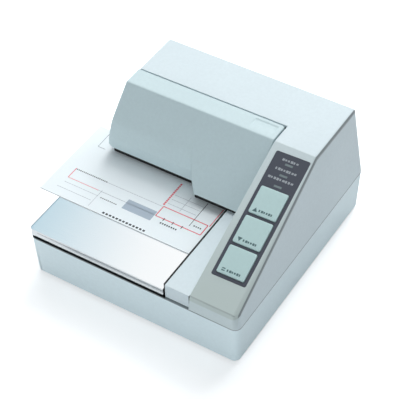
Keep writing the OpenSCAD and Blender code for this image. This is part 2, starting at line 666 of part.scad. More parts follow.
// Controller chip, cable header and three capacitors, at fixed shares of the board.
module board_parts() color([0.12, 0.12, 0.13]) placed() translate([board_x0, board_y0, board_z + board_t]) {
    w = board_x1 - board_x0;
    d = board_y1 - board_y0;
    block([0.2 * w, 0.22 * d, 0], [0.54 * w, 0.5 * d, 0.043 * w]);
    block([0.63 * w, 0.15 * d, 0], [0.71 * w, 0.73 * d, 0.114 * w]);
    for (i = [0:2]) rod_z(0, 0.2 * w, (0.143 + 0.171 * i) * w, 0.78 * d, 0.064 * w);
}

// ---- Chassis --------------------------------------------------------------------------------
function plate_side() = rounded([[chassis_front, chassis_z], [chassis_back, chassis_z],
    [chassis_back, plate_top - 18],
    [chassis_back - 8, plate_top], [chassis_front + 11, plate_top], [chassis_front + 8, pivot_z - 3.8],
    [pocket_back, pivot_z - 3.8], [pocket_back, table_z - 1.8], [chassis_front, table_z - 1.8]],
    [3, 3, 2, 2, 3, 1, 2, 0, 2]);
module plate_bores(x0, x1) {
    rod_x(x0, x1, shaft_y, shaft_z, shaft_r + run_gap);
    rod_x(x0, x1, front_feed_y, feed_z, feed_shaft_r + run_gap);
    rod_x(x0, x1, rear_feed_y, feed_z, feed_shaft_r + run_gap);
    rod_x(x0, x1, pivot_y, pivot_z, 1.6 + run_gap);
    rod_x(x0, x1, stop_y, stop_z, 1.5 + run_gap);
    block([x0, rail_y, rail_z], [x1, rail_y + rail_d, rail_z + rail_t]);
}
rail_y = shaft_y - 3;
rail_d = 7;
rail_t = 1.5;
rail_z = shaft_z + 9.6;
hook_z = rail_z + rail_t + 1.3;
stop_y = pocket_back + 1.5;
stop_z = table_z - 5.4;
stop_l = 9;
stop_places = [-plate_left + 35, plate_right - 22];
module left_plate() color([0.72, 0.73, 0.75]) placed() difference() {
    side_prism(-plate_left, -plate_left + plate_t, plate_side());
    plate_bores(-plate_left - 1, -plate_left + plate_t + 1);
}
module right_plate() color([0.72, 0.73, 0.75]) placed() difference() {
    side_prism(plate_right, plate_right + plate_t, rounded([[chassis_front, chassis_z],
        [chassis_back, chassis_z],
        [chassis_back, plate_top - 18], [chassis_back - 8, plate_top], [chassis_front + 11, plate_top],
        [chassis_front + 8, table_z + 8], [chassis_front, table_z]], [3, 3, 2, 2, 3, 2, 2]));
    plate_bores(plate_right - 1, plate_right + plate_t + 1);
    rod_x(plate_right - 1, plate_right + 3, idler_y, idler_z, 1.5 + run_gap);
}
module rear_plate() color([0.72, 0.73, 0.75]) placed() difference() {
    block([-plate_left + plate_t, rear_plate_y, pivot_z - 3.5], [plate_right, rear_plate_y + plate_t,
        plate_top - 2]);
    rod_y(rear_plate_y - 1, rear_plate_y + 3, drive_x, belt_z, 6);
    rod_y(rear_plate_y - 1, rear_plate_y + 3, idler_x, belt_z, 1.5 + run_gap);
}
module base_plate() color([0.72, 0.73, 0.75]) placed() difference() {
    block([-plate_left + plate_t, chassis_front, chassis_z], [plate_right, chassis_back,
        chassis_z + plate_t]);
    for (x = [for (i = [0:2]) -plate_left + 19 + i * (plate_left + plate_right - 23) / 3]) block([x,
        chassis_front + 16, chassis_z - 1], [x + 18, chassis_back - 20, chassis_z + 3]);
}
roller_places = [for (i = [0:2]) -plate_left + 17 + i * (plate_left + plate_right - 17) / 3];
platen_x0 = -plate_left + 13;
platen_x1 = plate_right - 10;
module paper_guide() color([0.10, 0.10, 0.11]) placed() difference() {
    union() {
        block([left + 3.5, tuck_foot_y - 2.9, table_z - 1.8], [guide_x, pocket_back, table_z]);
        block([guide_x, chassis_front - 2.4, table_z - 1.8], [guide_x + 1.4, pocket_back, table_z + 2.6]);
        block([left + 3.5, tuck_foot_y - 2.9, split_z + 0.2], [left + 5.3, seam_y - 0.6, table_z]);
    }
    for (x = roller_places, y = [front_feed_y, rear_feed_y])
        block([x - 1, y - 5.2, table_z - 3], [x + roller_l + 1, y + 5.2, table_z + 1]);
    block([platen_x0, print_y - 3.2, table_z - 3], [platen_x1, print_y + 3.2, table_z + 1]);
    for (x = stop_places) block([x - 0.5, stop_y - stop_l - 1.2, table_z - 3], [x + 8.5,
        pocket_back + 1, table_z + 1]);
    block([guide_x - 1, print_y - 6, slip_top + 0.2], [guide_x + 3, print_y + 7, table_z + 5]);
}
module platen() color([0.16, 0.16, 0.17]) placed() {
    block([platen_x0 + 0.2, print_y - 3, table_z - 6], [platen_x1 - 0.2, print_y + 3, table_z]);
    block([-plate_left + plate_t, print_y - 3, table_z - 8], [plate_right, print_y + 3, table_z - 6]);
}

// ---- Carriage and drive ---------------------------------------------------------------------
head_r = 11.4;
module carriage_shaft() color([0.86, 0.87, 0.89]) placed()
    rod_x(-plate_left - 0.9, plate_right + plate_t + 0.9, shaft_y, shaft_z, shaft_r);
module guide_rail() color([0.80, 0.81, 0.83]) placed()
    block([-plate_left - 0.8, rail_y, rail_z], [plate_right + plate_t + 0.8, rail_y + rail_d,
        rail_z + rail_t]);
module carriage() color([0.16, 0.16, 0.17]) placed() translate([carriage_x, 0, 0]) difference() {
    union() {
        block([-carriage_w / 2, shaft_y - 6, shaft_z - 6.8], [carriage_w / 2, shaft_y + 7, shaft_z + 7]);
        block([-carriage_w / 2, shaft_y - 6, shaft_z + 6.9], [carriage_w / 2, rail_y - 0.4, hook_z]);
        block([-6, shaft_y - 6, rail_z + rail_t + 0.3], [6, rail_y + rail_d + 0.5, hook_z]);
        block([-6, shaft_y - 6, shaft_z + 6.9], [6, rail_y + rail_d + 0.5, rail_z - 0.3]);
        for (s = [0, 1]) block([(s - 1) * carriage_w / 2 + s * head_r, print_y - 7, shaft_z - 6.8],
            [s * carriage_w / 2 - (1 - s) * head_r, shaft_y - 5.9, shaft_z + 5]);
        block([-11, shaft_y + 6.9, shaft_z + 1], [-4, belt_y + 3.2, shaft_z + 7]);
    }
    rod_x(-20, 20, shaft_y, shaft_z, shaft_r + run_gap);
    block([-12, belt_y - belt_w / 2 - 0.3, belt_z + pulley_r - 0.2], [-3, belt_y + 5,
        belt_z + pulley_r + belt_t + 0.6]);
}
module print_head() color([0.30, 0.31, 0.33]) placed() translate([carriage_x, 0, 0]) {
    block([-head_r, print_y - 7.5, shaft_z - 7], [head_r, shaft_y - 6, shaft_z + 1]);
    for (i = [0:4]) block([-11.2, print_y - 7.5, shaft_z + 1 - eps + 2 * i], [11.2, shaft_y - 7,
        shaft_z + 2.1 + 2 * i]);
    block([-8, print_y - 5, shaft_z], [8, shaft_y - 9, shaft_z + 10]);
    hull() {
        block([-7, print_y - 5.5, shaft_z - 7], [7, print_y + 5.5, shaft_z - 6.5]);
        block([-2.4, print_y - 1.6, slip_top + 0.9], [2.4, print_y + 1.6, slip_top + 1]);
    }
}
// Flat cable: a hairpin between the carriage and a clip on the rear plate, standing on its edge.
cable_t = 0.25;
module head_cable() color([0.85, 0.87, 0.90]) placed() {
    near = rail_y + rail_d + 0.8;
    far = rear_plate_y;
    turn_r = (far - near) / 2;
    turn_x = carriage_x + 44;
    block([carriage_x - 5, near, hook_z - 5], [turn_x, near + cable_t, hook_z]);
    block([carriage_x + 20, far - cable_t, hook_z - 5], [turn_x, far, hook_z]);
    translate([turn_x, near + turn_r, hook_z - 5]) intersection() {
        difference() {
            cylinder(r = turn_r, h = 5);
            translate([0, 0, -1]) cylinder(r = turn_r - cable_t, h = 7);
        }
        translate([-eps, -20, 0]) cube([20, 40, 5]);
    }
}
module carriage_motor() color([0.45, 0.46, 0.48]) placed() {
    rod_y(rear_plate_y + plate_t, rear_plate_y + plate_t + motor_l, drive_x, belt_z, carriage_motor_r);
    rod_y(rear_plate_y + plate_t + motor_l - eps, rear_plate_y + plate_t + motor_l + 2, drive_x, belt_z, 5);
    rod_y(rear_plate_y - 1.0, rear_plate_y + plate_t + eps, drive_x, belt_z, 5);
}
module pulley(x, y_end) {
    rod_y(belt_y - belt_w / 2 - 0.3, belt_y + belt_w / 2 + 0.2, x, belt_z, pulley_r);
    rod_y(belt_y - belt_w / 2 - 1.1, belt_y - belt_w / 2 - 0.3 + eps, x, belt_z, pulley_r + belt_t + 0.2);
    rod_y(belt_y + belt_w / 2, y_end, x, belt_z, 1.5);
}
module drive_pulley() color([0.80, 0.72, 0.42]) placed() pulley(drive_x, rear_plate_y - 1.05);
module idler_pulley() color([0.86, 0.86, 0.84]) placed() pulley(idler_x, rear_plate_y + plate_t + 1);
module timing_belt() color([0.09, 0.09, 0.10]) placed() {
    inner = pulley_r + 0.1;
    translate([0, belt_y + belt_w / 2, belt_z]) rotate([90, 0, 0]) linear_extrude(belt_w) difference() {
        union() {
            for (x = [idler_x, drive_x]) translate([x, 0]) circle(inner + belt_t);
            translate([idler_x, -inner - belt_t]) square([drive_x - idler_x, 2 * (inner + belt_t)]);
        }
        for (x = [idler_x, drive_x]) translate([x, 0]) circle(inner);
        translate([idler_x, -inner]) square([drive_x - idler_x, 2 * inner]);
    }
}

// ---- Ribbon ---------------------------------------------------------------------------------
cassette_z = plate_top;
cassette_y0 = print_y + 2;
cassette_y1 = seam_y - 2;
ribbon_z = slip_top + 0.5;
arm_w = 3.5;
arm_places = [-plate_left + 4.5, plate_right - 3 - arm_w];
knob_x = -plate_left + 29;
knob_y = (cassette_y0 + cassette_y1) / 2;
module ribbon_cassette() color([0.13, 0.13, 0.14]) placed() difference() {
    union() {
        translate([(arm_places[0] + arm_places[1] + arm_w) / 2, knob_y, 0])
            slab(arm_places[1] - arm_places[0] + arm_w, cassette_y1 - cassette_y0, 4, cassette_z,
                cassette_z + cassette_h);
        block([-plate_left, cassette_y0 + 4, cassette_z], [plate_right + plate_t, cassette_y1 - 4,
            cassette_z + 2]);
        for (x = arm_places) block([x, print_y - 5, slip_top + 0.35], [x + arm_w, print_y + 6,
            cassette_z + 6]);
    }
    rod_z(cassette_z + 6, cassette_z + cassette_h + 1, knob_x, knob_y, 2 + run_gap);
}
module ribbon() color([0.25, 0.12, 0.35]) placed()
    block([arm_places[0] + arm_w, print_y - ribbon_w / 2, ribbon_z], [arm_places[1],
        print_y + ribbon_w / 2, ribbon_z + 0.12]);
module ribbon_knob() color([0.55, 0.60, 0.62]) placed() {
    rod_z(cassette_z + cassette_h + 0.2, cassette_z + cassette_h + 3, knob_x, knob_y, 6);
    rod_z(cassette_z + 6.2, cassette_z + cassette_h + 1, knob_x, knob_y, 2);
    block([knob_x - 5, knob_y - 0.8, cassette_z + cassette_h + 2.9], [knob_x + 5, knob_y + 0.8,
        cassette_z + cassette_h + 4.4]);
}

// ---- Feed train -----------------------------------------------------------------------------
front_turn = 0;
idler_dir = atan2(idler_z - feed_z, idler_y - front_feed_y);
idler_turn = mesh_turn(feed_teeth, front_turn, idler_dir, feed_teeth);
rear_dir = atan2(feed_z - idler_z, rear_feed_y - idler_y);
rear_turn = mesh_turn(feed_teeth, idler_turn, rear_dir, feed_teeth);
pinion_turn = mesh_turn(feed_teeth, idler_turn, pinion_a, pinion_teeth);
module feed_shaft(y, turn) {
    rod_x(-plate_left - 1.5, bracket_x + plate_t - 0.1, y, feed_z, feed_shaft_r);
    translate([gear_x, y, feed_z]) rotate([turn, 0, 0]) gear(feed_teeth, gear_w, feed_shaft_r - eps);
}
module front_feed_shaft() color([0.82, 0.83, 0.85]) placed() feed_shaft(front_feed_y, front_turn);
module rear_feed_shaft() color([0.82, 0.83, 0.85]) placed() feed_shaft(rear_feed_y, rear_turn);
module feed_rollers(y) for (x = roller_places) difference() {
    rod_x(x, x + roller_l, y, feed_z, roller_r);
    rod_x(x - 1, x + roller_l + 1, y, feed_z, feed_shaft_r + eps);
}
module front_feed_rollers() color([0.11, 0.11, 0.12]) placed() feed_rollers(front_feed_y);
module rear_feed_rollers() color([0.11, 0.11, 0.12]) placed() feed_rollers(rear_feed_y);
module feed_idler() color([0.88, 0.87, 0.80]) placed() {
    translate([gear_x, idler_y, idler_z]) rotate([idler_turn, 0, 0]) gear(feed_teeth, gear_w, 1);
    rod_x(plate_right - 0.5, bracket_x + plate_t - 0.1, idler_y, idler_z, 1.5);
}
module motor_pinion() color([0.80, 0.72, 0.42]) placed() {
    translate([gear_x, motor_y, motor_z]) rotate([pinion_turn, 0, 0]) gear(pinion_teeth, gear_w, 1);
    rod_x(gear_x - 0.5, bracket_x - 0.1, motor_y, motor_z, 1.5);
}
module gear_bracket() color([0.72, 0.73, 0.75]) placed() difference() {
    union() {
        side_prism(bracket_x, bracket_x + plate_t, rounded([[chassis_front + 1, base_z + 8],
            [chassis_back - 12, base_z + 8],
            [chassis_back - 12, table_z + 0.5], [chassis_front + 1, table_z + 0.5]], [3, 3, 3, 3]));
        for (p = [[chassis_front + 4, chassis_z + 3], [chassis_back - 15, chassis_z + 6]])
            rod_x(plate_right + plate_t, bracket_x + eps, p[0], p[1], 2.2);
    }
    rod_x(bracket_x - 1, bracket_x + 3, front_feed_y, feed_z, feed_shaft_r + run_gap);
    rod_x(bracket_x - 1, bracket_x + 3, rear_feed_y, feed_z, feed_shaft_r + run_gap);
    rod_x(bracket_x - 1, bracket_x + 3, idler_y, idler_z, 1.5 + run_gap);
    rod_x(bracket_x - 1, bracket_x + 3, motor_y, motor_z, 5);
}
module feed_motor() color([0.45, 0.46, 0.48]) placed() {
    rod_x(bracket_x + plate_t, bracket_x + plate_t + motor_l, motor_y, motor_z, feed_motor_r);
    rod_x(bracket_x, bracket_x + plate_t + eps, motor_y, motor_z, 4.9);
}

// ---- Pressure rollers and release -----------------------------------------------------------
press_shaft_r = 1.5;
module pressure_frame() color([0.60, 0.61, 0.63]) placed() {
    rod_x(-plate_left - 0.9, bracket_x - 1, pivot_y, pivot_z, 1.6);
    difference() {
        for (x = [-plate_left + 2.2, plate_right - 2.4]) side_prism(x, x + 1.2,
            rounded([[pivot_y + 3, pivot_z - 3],
            [pivot_y + 3, pivot_z + 3], [pivot_y - 3, pivot_z + 3], [rear_feed_y, press_z + 3],
                [front_feed_y - 3, press_z + 3],
            [front_feed_y - 3, press_z - 3], [rear_feed_y, press_z - 3]], [2, 2, 2, 2, 2, 2, 2]));
        for (y = [front_feed_y, rear_feed_y]) rod_x(-plate_left, plate_right, y, press_z,
            press_shaft_r + run_gap);
    }
    difference() {
        side_prism(plunger_x - 2.2, plunger_x + 2.2, rounded([[pivot_y - 3, pivot_z - 2.5],
            [plunger_y + 3.5, pivot_z - 1.5],
            [plunger_y + 3.5, pivot_z + 1.5], [pivot_y - 3, pivot_z + 2.5]], [1, 1, 1, 1]));
        block([plunger_x - 1.2, plunger_y - 2, pivot_z - 5], [plunger_x + 1.2, plunger_y + 2, pivot_z + 5]);
    }
}
module pressure_rollers(y) {
    rod_x(-plate_left + 2.1, plate_right - 1.1, y, press_z, press_shaft_r);
    for (x = roller_places) rod_x(x + 1, x + roller_l - 1, y, press_z, press_r);
}
module front_pressure_rollers() color([0.20, 0.20, 0.21]) placed() pressure_rollers(front_feed_y);
module rear_pressure_rollers() color([0.20, 0.20, 0.21]) placed() pressure_rollers(rear_feed_y);
plunger_y = pivot_y + 16;
plunger_x = bracket_x - 3.2;
module release_solenoid() color([0.35, 0.36, 0.38]) placed() difference() {
    block([plate_right + plate_t, plunger_y - 7, chassis_z + 4], [plunger_x + 8, plunger_y + 7,
        chassis_z + 24]);
    rod_z(chassis_z + 10, chassis_z + 25, plunger_x, plunger_y, 3 + 2 * run_gap);
}
module solenoid_plunger() color([0.80, 0.81, 0.83]) placed() {
    rod_z(chassis_z + 13, pivot_z - 3.2, plunger_x, plunger_y, 3);
    rod_z(pivot_z - 3.3, pivot_z + 2.4, plunger_x, plunger_y, 0.9);
    rod_z(pivot_z + 2.3, pivot_z + 3.5, plunger_x, plunger_y, 2.6);
}
module form_stopper() color([0.14, 0.14, 0.15]) placed() {
    rod_x(-plate_left - 1, plate_right + plate_t - 0.1, stop_y, stop_z, 1.5);
    for (x = stop_places) side_prism(x, x + 8, rounded([[stop_y - stop_l, stop_z - 1.4], [stop_y,
        stop_z - 1.4],
        [stop_y, stop_z + 1.4], [stop_y - stop_l, stop_z + 1.4]], [1, 0, 0, 1]));
}
module paper_slip() color([0.93, 0.95, 0.97]) placed()
    block([slip_left, slip_back - slip_l, slip_z], [slip_right, slip_back, slip_top]);

lower_case();
upper_case();
ribbon_cover();
slip_table();
table_strip();
slip_guide();
panel_label();
forward_key();
reverse_key();
release_key();
indicator_lenses();
panel_board();
panel_switches();
rubber_feet();
case_screws();
switch_hatch();
connector_plate();
interface_connector();
jackscrews();
power_inlet();
drawer_jack();
power_switch();
power_rocker();
ground_screw();
main_board();
board_parts();
left_plate();
right_plate();
rear_plate();
base_plate();
paper_guide();
platen();
carriage_shaft();
guide_rail();
carriage();
print_head();
head_cable();
carriage_motor();
drive_pulley();
idler_pulley();
timing_belt();
ribbon_cassette();
ribbon();
ribbon_knob();
feed_motor();
motor_pinion();
feed_idler();
front_feed_shaft();
front_feed_rollers();
rear_feed_shaft();
rear_feed_rollers();
gear_bracket();
pressure_frame();
front_pressure_rollers();
rear_pressure_rollers();
release_solenoid();
solenoid_plunger();
form_stopper();
paper_slip();
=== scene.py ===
# %% [markdown]
# # Dressing a flat-bed slip printer
# A slip printer marks one sheet of paper at a time. The sheet lies on a steel table, a row of needles
# under the ribbon cover prints it from above, and three keys on the sloping panel feed or free it.
# The solids come from the CAD model as a fixed frame. This script gives them their real skin: soft
# edges, moulded grain, brushed steel and printed paper.

import json
import math

import bmesh
import bpy
import numpy as np
from mathutils import Matrix, Vector


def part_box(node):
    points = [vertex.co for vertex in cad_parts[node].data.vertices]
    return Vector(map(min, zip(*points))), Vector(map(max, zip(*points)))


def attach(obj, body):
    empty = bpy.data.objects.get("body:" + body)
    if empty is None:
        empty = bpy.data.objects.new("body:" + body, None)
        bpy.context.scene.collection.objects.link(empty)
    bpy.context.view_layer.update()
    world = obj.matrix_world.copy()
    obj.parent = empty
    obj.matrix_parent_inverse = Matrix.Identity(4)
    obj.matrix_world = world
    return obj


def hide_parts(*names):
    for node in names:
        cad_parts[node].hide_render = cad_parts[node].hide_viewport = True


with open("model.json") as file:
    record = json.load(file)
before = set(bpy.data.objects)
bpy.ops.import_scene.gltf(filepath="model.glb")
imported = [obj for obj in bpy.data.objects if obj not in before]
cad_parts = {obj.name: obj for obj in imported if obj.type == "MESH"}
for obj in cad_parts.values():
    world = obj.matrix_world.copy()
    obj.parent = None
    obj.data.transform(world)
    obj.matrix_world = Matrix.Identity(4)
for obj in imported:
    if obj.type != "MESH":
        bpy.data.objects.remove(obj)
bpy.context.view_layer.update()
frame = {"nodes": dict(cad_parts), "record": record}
SOLIDS = frame["nodes"]
SLOT_OF = {row["node"]: row["material_slot"] for row in frame["record"]["subparts"]}
BODY_OF = {n: body for body, members in frame["record"]["behaviour"]["bodies"].items() for n in members}

# %% [markdown]
# ## Units and the places that the solids give
# A machine like this is drawn in millimetres, so the shapes below are too, and only the last step turns
# them into metres. Wherever a piece touches a solid, its place is read from that solid's box, so the
# skin still fits if the frame changes. Three places are no solid's end and are written here: where the
# case's halves meet, the fold between roof and slope, and the seam behind the cover.

# %% Places in millimetres
MM = 0.001
SPLIT_Z, FOLD_Y, SEAM_Y = 38.7, 29.15, 47.15


def span(node):
    """Lowest and highest corner of a solid, in millimetres."""
    low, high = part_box(node)
    return np.array(low) / MM, np.array(high) / MM


cover_low, cover_high = span("ribbon_cover")
table_low, table_high = span("slip_table")
strip_low, strip_high = span("table_strip")
slip_low, slip_high = span("paper_slip")
ROOF_Z = span("upper_case")[1][2]
TABLE_Z = table_high[2]
print("roof at", round(float(ROOF_Z), 2), "mm, table at", round(float(TABLE_Z), 2), "mm")

# %% [markdown]
# ## Finishes
# Real plastic is never one colour: pigment clouds a little, a spark-eroded mould leaves a fine pebble,
# and hands polish it unevenly. Most finishes below therefore mix two tones with a soft cloud, let the
# same cloud shift the roughness, and give a fine bump its own scale. The patterns could be painted on
# an unwrapped skin, but a few nodes that read Object coordinates stay sharp at any distance, fit every
# solid and move with it. This first helper only adds nodes and joins their sockets.

# %% A small node builder
class Nodes:
    """Adds nodes to a tree; an input is another node's socket or a plain value."""

    def __init__(self, tree):
        self.tree = tree

    def feed(self, socket, value):
        if isinstance(value, bpy.types.NodeSocket):
            self.tree.links.new(value, socket)
        else:
            socket.default_value = value

    def add(self, kind, **inputs):
        node = self.tree.nodes.new(kind)
        for key, value in inputs.items():
            self.feed(node.inputs[key.replace("_", " ")], value)
        return node

    def between(self, value, low, high, new_low, new_high):
        """A straight line from one range to another, held at its ends."""
        node = self.add("ShaderNodeMapRange", Value=value)
        for socket, number in zip(node.inputs[1:5], (low, high, new_low, new_high)):
            socket.default_value = number
        return node.outputs["Result"]

    def maths(self, kind, *values):
        """One arithmetic node over sockets and numbers."""
        node = self.tree.nodes.new("ShaderNodeMath")
        node.operation = kind
        for socket, value in zip(node.inputs, values):
            self.feed(socket, value)
        return node.outputs["Value"]

    def mixed(self, factor, first, second):
        """The first colour where the factor is 0, the second where it is 1."""
        node = self.tree.nodes.new("ShaderNodeMix")
        node.data_type = "RGBA"
        sockets = {s.name: s for s in node.inputs if s.enabled}
        for key, value in (("Factor", factor), ("A", first), ("B", second)):
            self.feed(sockets[key], value)
        return [s for s in node.outputs if s.enabled][0]

    def either(self, factor, first, second):
        """The first shader where the factor is 0, the second where it is 1."""
        node = self.tree.nodes.new("ShaderNodeMixShader")
        for socket, value in zip(node.inputs, (factor, first.outputs[0], second.outputs[0])):
            self.feed(socket, value)
        return node


print("node builder ready")

# %% [markdown]
# A finish is a Principled shader with its textures. Colours are easiest to judge as they look on a
# screen, so they are written that way and turned into linear light before they reach the shader.

# %% A finish and its tones
FINISH = {}


def light_of(colour):
    """Screen colour to linear light: a straight foot, then the power 2.4."""
    c = np.asarray(colour, float)
    return tuple(np.where(c <= 0.04045, c / 12.92, ((c + 0.055) / 1.055) ** 2.4)) + (1.0,)


def tones(colour, spread):
    """Two linear tones of one colour, a share darker and a share lighter."""
    base = np.array(light_of(colour))[:3]
    return tuple(base * (1 - spread)) + (1.0,), tuple(np.minimum(base * (1 + spread), 1)) + (1.0,)


class Finish(Nodes):
    """A material under construction: its nodes, its shader and its Object coordinates."""

    def __init__(self, name):
        self.material = FINISH[name] = bpy.data.materials.new(name)
        self.material.use_nodes = True
        super().__init__(self.material.node_tree)
        self.shader = self.tree.nodes["Principled BSDF"]
        self.place = self.add("ShaderNodeTexCoord").outputs["Object"]

    def xyz(self):
        return self.add("ShaderNodeSeparateXYZ", Vector=self.place).outputs

    def stretched(self, scale):
        """Object coordinates squeezed along each axis by the given factors."""
        return self.add("ShaderNodeMapping", Vector=self.place, Scale=scale).outputs["Vector"]

    def noise(self, scale, detail=2.0, where=None, rough=0.5):
        return self.add("ShaderNodeTexNoise", Vector=where or self.place, Scale=scale, Detail=detail,
                        Roughness=rough).outputs["Fac"]

    def bump(self, height, depth):
        return self.add("ShaderNodeBump", Height=height, Distance=depth, Strength=1.0).outputs["Normal"]

    def put(self, **sockets):
        for key, value in sockets.items():
            self.feed(self.shader.inputs[key.replace("_", " ")], value)


print("screen grey 0.5 is", round(float(light_of((0.5,))[0]), 3), "in linear light")

# %% [markdown]
# ## Moulded plastics and rubber
# The case, the cover and the keys are ABS from textured moulds. The pebble of such a texture is about a
# third of a millimetre across and a few hundredths deep. Rubber has a finer, duller skin. One function
# makes them all, with optional masks for painted shade: dark lines, and a darker, warmer slope.

# %% One recipe for mouldings
# Painted shade: the first darkens the painted shade lines, the second tints the painted shade on the slope,
# the third paints the deepest shade near black.
LINE_SHADE, SLOPE_SHADE_TINT, DEEP_SHADE_COLOUR = 0.62, (0.900, 0.905, 0.875), (0.05, 0.055, 0.06)


def moulded(slot, colour, rough=0.5, spread=0.02, pebble=3000.0, depth=0.00002, specular=0.5, lines=None,
            slope_shade=None):
    """Two tones mixed by fine dust and a soft cloud. Painted shade: a mask darkens the colour along its band,
    and where it passes 1 it paints the band as deep shade near black.
    """
    f = Finish(slot)
    cloud, dust = f.noise(22.0, 3.0), f.noise(420.0, 2.0)
    low, high = tones(colour, spread)
    pigment = f.mixed(f.between(dust, 0.3, 0.7, 0.0, 1.0), low, high)
    tint = f.mixed(f.between(cloud, 0.35, 0.65, 0.0, 0.35), pigment, tones(colour, spread * 1.5)[0])
    # Painted shade on the slope: darker and warmer.
    if slope_shade:
        tint = f.mixed(slope_shade(f), tint, light_of(np.array(colour) * SLOPE_SHADE_TINT))
    # Painted shade along the masked band, near black where the mask passes 1.
    if lines:
        mask = lines(f)
        tint = f.mixed(mask, tint, light_of(np.array(colour) * LINE_SHADE))
        tint = f.mixed(f.between(mask, 1.05, 1.3, 0.0, 1.0), tint, light_of(DEEP_SHADE_COLOUR))
    f.put(Base_Color=tint, Roughness=f.between(cloud, 0.3, 0.7, rough - 0.04, rough + 0.05),
          Normal=f.bump(f.noise(pebble, 1.0), depth))
    f.shader.inputs["Specular IOR Level"].default_value = specular


print("recipe for mouldings ready")

# %% [markdown]
# A dark line of painted shade runs where the case's two halves meet and along the rounded edge of the
# roof and the slope. Cut into the mesh it would need thousands of faces. Here it is a band in Object
# coordinates: one at the height where the shells meet, one within a millimetre of the edge
# x = a + b max(0, fold - y), near the height that the edge has there.

# %% Painted shade in the shells
EDGE_X, EDGE_WAY, SLOPE_TAN = 91.35, 0.0529, 0.4077
LEDGE_END = 38.3


def ramp(f, value, low, high, start=0.0, end=1.0):
    """A straight line between two places in millimetres, held at its ends."""
    return f.between(value, low * MM, high * MM, start, end)


def band(f, value, low, high, soft=0.15):
    """1 between two places in millimetres, 0 outside, with soft sides."""
    return f.maths("MULTIPLY", ramp(f, value, low - soft, low + soft),
                   ramp(f, value, high - soft, high + soft, 1.0, 0.0))


def near_edge(f):
    """The coordinates, the distance beside the long edge, and the height as if the slope were level."""
    part = f.xyz()
    ahead = f.maths("MAXIMUM", f.maths("SUBTRACT", FOLD_Y * MM, part["Y"]), 0.0)
    beside = f.maths("SUBTRACT", part["X"], f.maths("MULTIPLY_ADD", ahead, EDGE_WAY, EDGE_X * MM))
    return part, beside, f.maths("ADD", part["Z"], f.maths("MULTIPLY", ahead, SLOPE_TAN))


# Painted shade in the joint where the shells meet.
def split_shade(f):
    return band(f, f.xyz()["Z"], SPLIT_Z - 0.45, SPLIT_Z + 0.4)


def shell_shade_lines(f):
    """Painted shade along the long edge, along the front lip of the key block at half strength, and at the
    split line.
    """
    part, beside, level = near_edge(f)
    edge = f.maths("MULTIPLY", band(f, beside, -0.9, 0.12), ramp(f, level, 98.0, 98.5))
    lip = f.maths("MULTIPLY", band(f, part["Y"], -93.4, -92.6), ramp(f, part["Z"], 50.5, 50.9, 0.0, 0.5))
    return f.maths("MAXIMUM", f.maths("MAXIMUM", edge, lip), split_shade(f))


def base_shade_lines(f):
    """Painted shade: the split line, and the ledge under the table's apron, where light hardly reaches."""
    part = f.xyz()
    ledge = ramp(f, part["Z"], SPLIT_Z - 0.1, SPLIT_Z - 0.04, 0.0, 1.15)
    ledge = f.maths("MULTIPLY", ledge, ramp(f, part["Y"], -94.8, -94.6))
    ledge = f.maths("MULTIPLY", ledge, ramp(f, part["X"], LEDGE_END - 0.1, LEDGE_END + 0.1, 1.0, 0.0))
    return f.maths("ADD", split_shade(f), ledge)


print("split line at", SPLIT_Z, "mm, long edge at", EDGE_X, "mm")

# %% [markdown]
# The slope of the key block is painted a little darker and warmer than the roof, more so towards the
# front: painted shade with a warm painted reflection.

# %% Mask of the painted shade on the slope
def slope_shade_mask(f):
    """Strength of the painted shade: 0.3 at the fold, 1 near the front end, a third of that on the block's
    front wall, 0 elsewhere.
    """
    part, beside, level = near_edge(f)
    slope = f.maths("MULTIPLY", ramp(f, level, 97.5, 98.5, 0.35, 1.0), ramp(f, beside, -0.6, 0.0, 1.0, 0.0))
    slope = f.maths("MULTIPLY", slope, ramp(f, part["Y"], FOLD_Y - 0.65, FOLD_Y + 0.35, 1.0, 0.0))
    return f.maths("MULTIPLY", slope, ramp(f, part["Y"], -85.0, 30.0, 1.0, 0.3))


# The painted shade on the slope ends at the fold.
print("painted_shade ends at the fold, y =", FOLD_Y, "mm")

# %% [markdown]
# Real moulded parts of one colour never match: the roof, the base and the cover come from different
# moulds and age apart, so each has a tone of its own. Dark parts show more of their pigment's cloud,
# which is why their two tones lie further apart.

# %% Mouldings of the printer
moulded("case_grey", (0.842, 0.886, 0.902), rough=0.46)
# The top shell and the base get painted shade along their lines; the top shell also on its slope.
moulded("top_grey", (0.842, 0.886, 0.902), rough=0.46, lines=shell_shade_lines, slope_shade=slope_shade_mask)
moulded("base_grey", (0.895, 0.950, 0.965), rough=0.46, lines=base_shade_lines)
moulded("cover_grey", (0.800, 0.866, 0.878), rough=0.46)
moulded("key_grey", (0.752, 0.850, 0.846), rough=0.42, pebble=4200.0, depth=0.000012)
moulded("black_plastic", (0.115, 0.118, 0.125), rough=0.48, spread=0.12)
moulded("cassette", (0.135, 0.137, 0.150), rough=0.4, spread=0.1)
moulded("white_plastic", (0.865, 0.860, 0.815), rough=0.4, spread=0.02)
moulded("rubber", (0.115, 0.115, 0.120), rough=0.75, spread=0.14, pebble=1800.0, depth=0.00004, specular=0.3)
moulded("grey_rubber", (0.255, 0.258, 0.268), rough=0.7, spread=0.1, pebble=1500.0, depth=0.00003,
        specular=0.3)
print("moulded:", ", ".join(FINISH))

# %% [markdown]
# ## Metals
# The table is stainless sheet with a fine brushed grain that runs from side to side, so its bump is a
# noise stretched along X. Along its left fold a dull band is painted in: a painted reflection of a
# darker side in the fold's rounding. Chassis plates are zinc-plated: the plating freezes in patches a
# few millimetres wide, which a Voronoi pattern copies. Ground shafts only show faint rings.

# %% Metal finishes
# Colour of the painted reflection along the table's left fold.
FOLD_REFLECTION_GREY = (0.42, 0.46, 0.48)


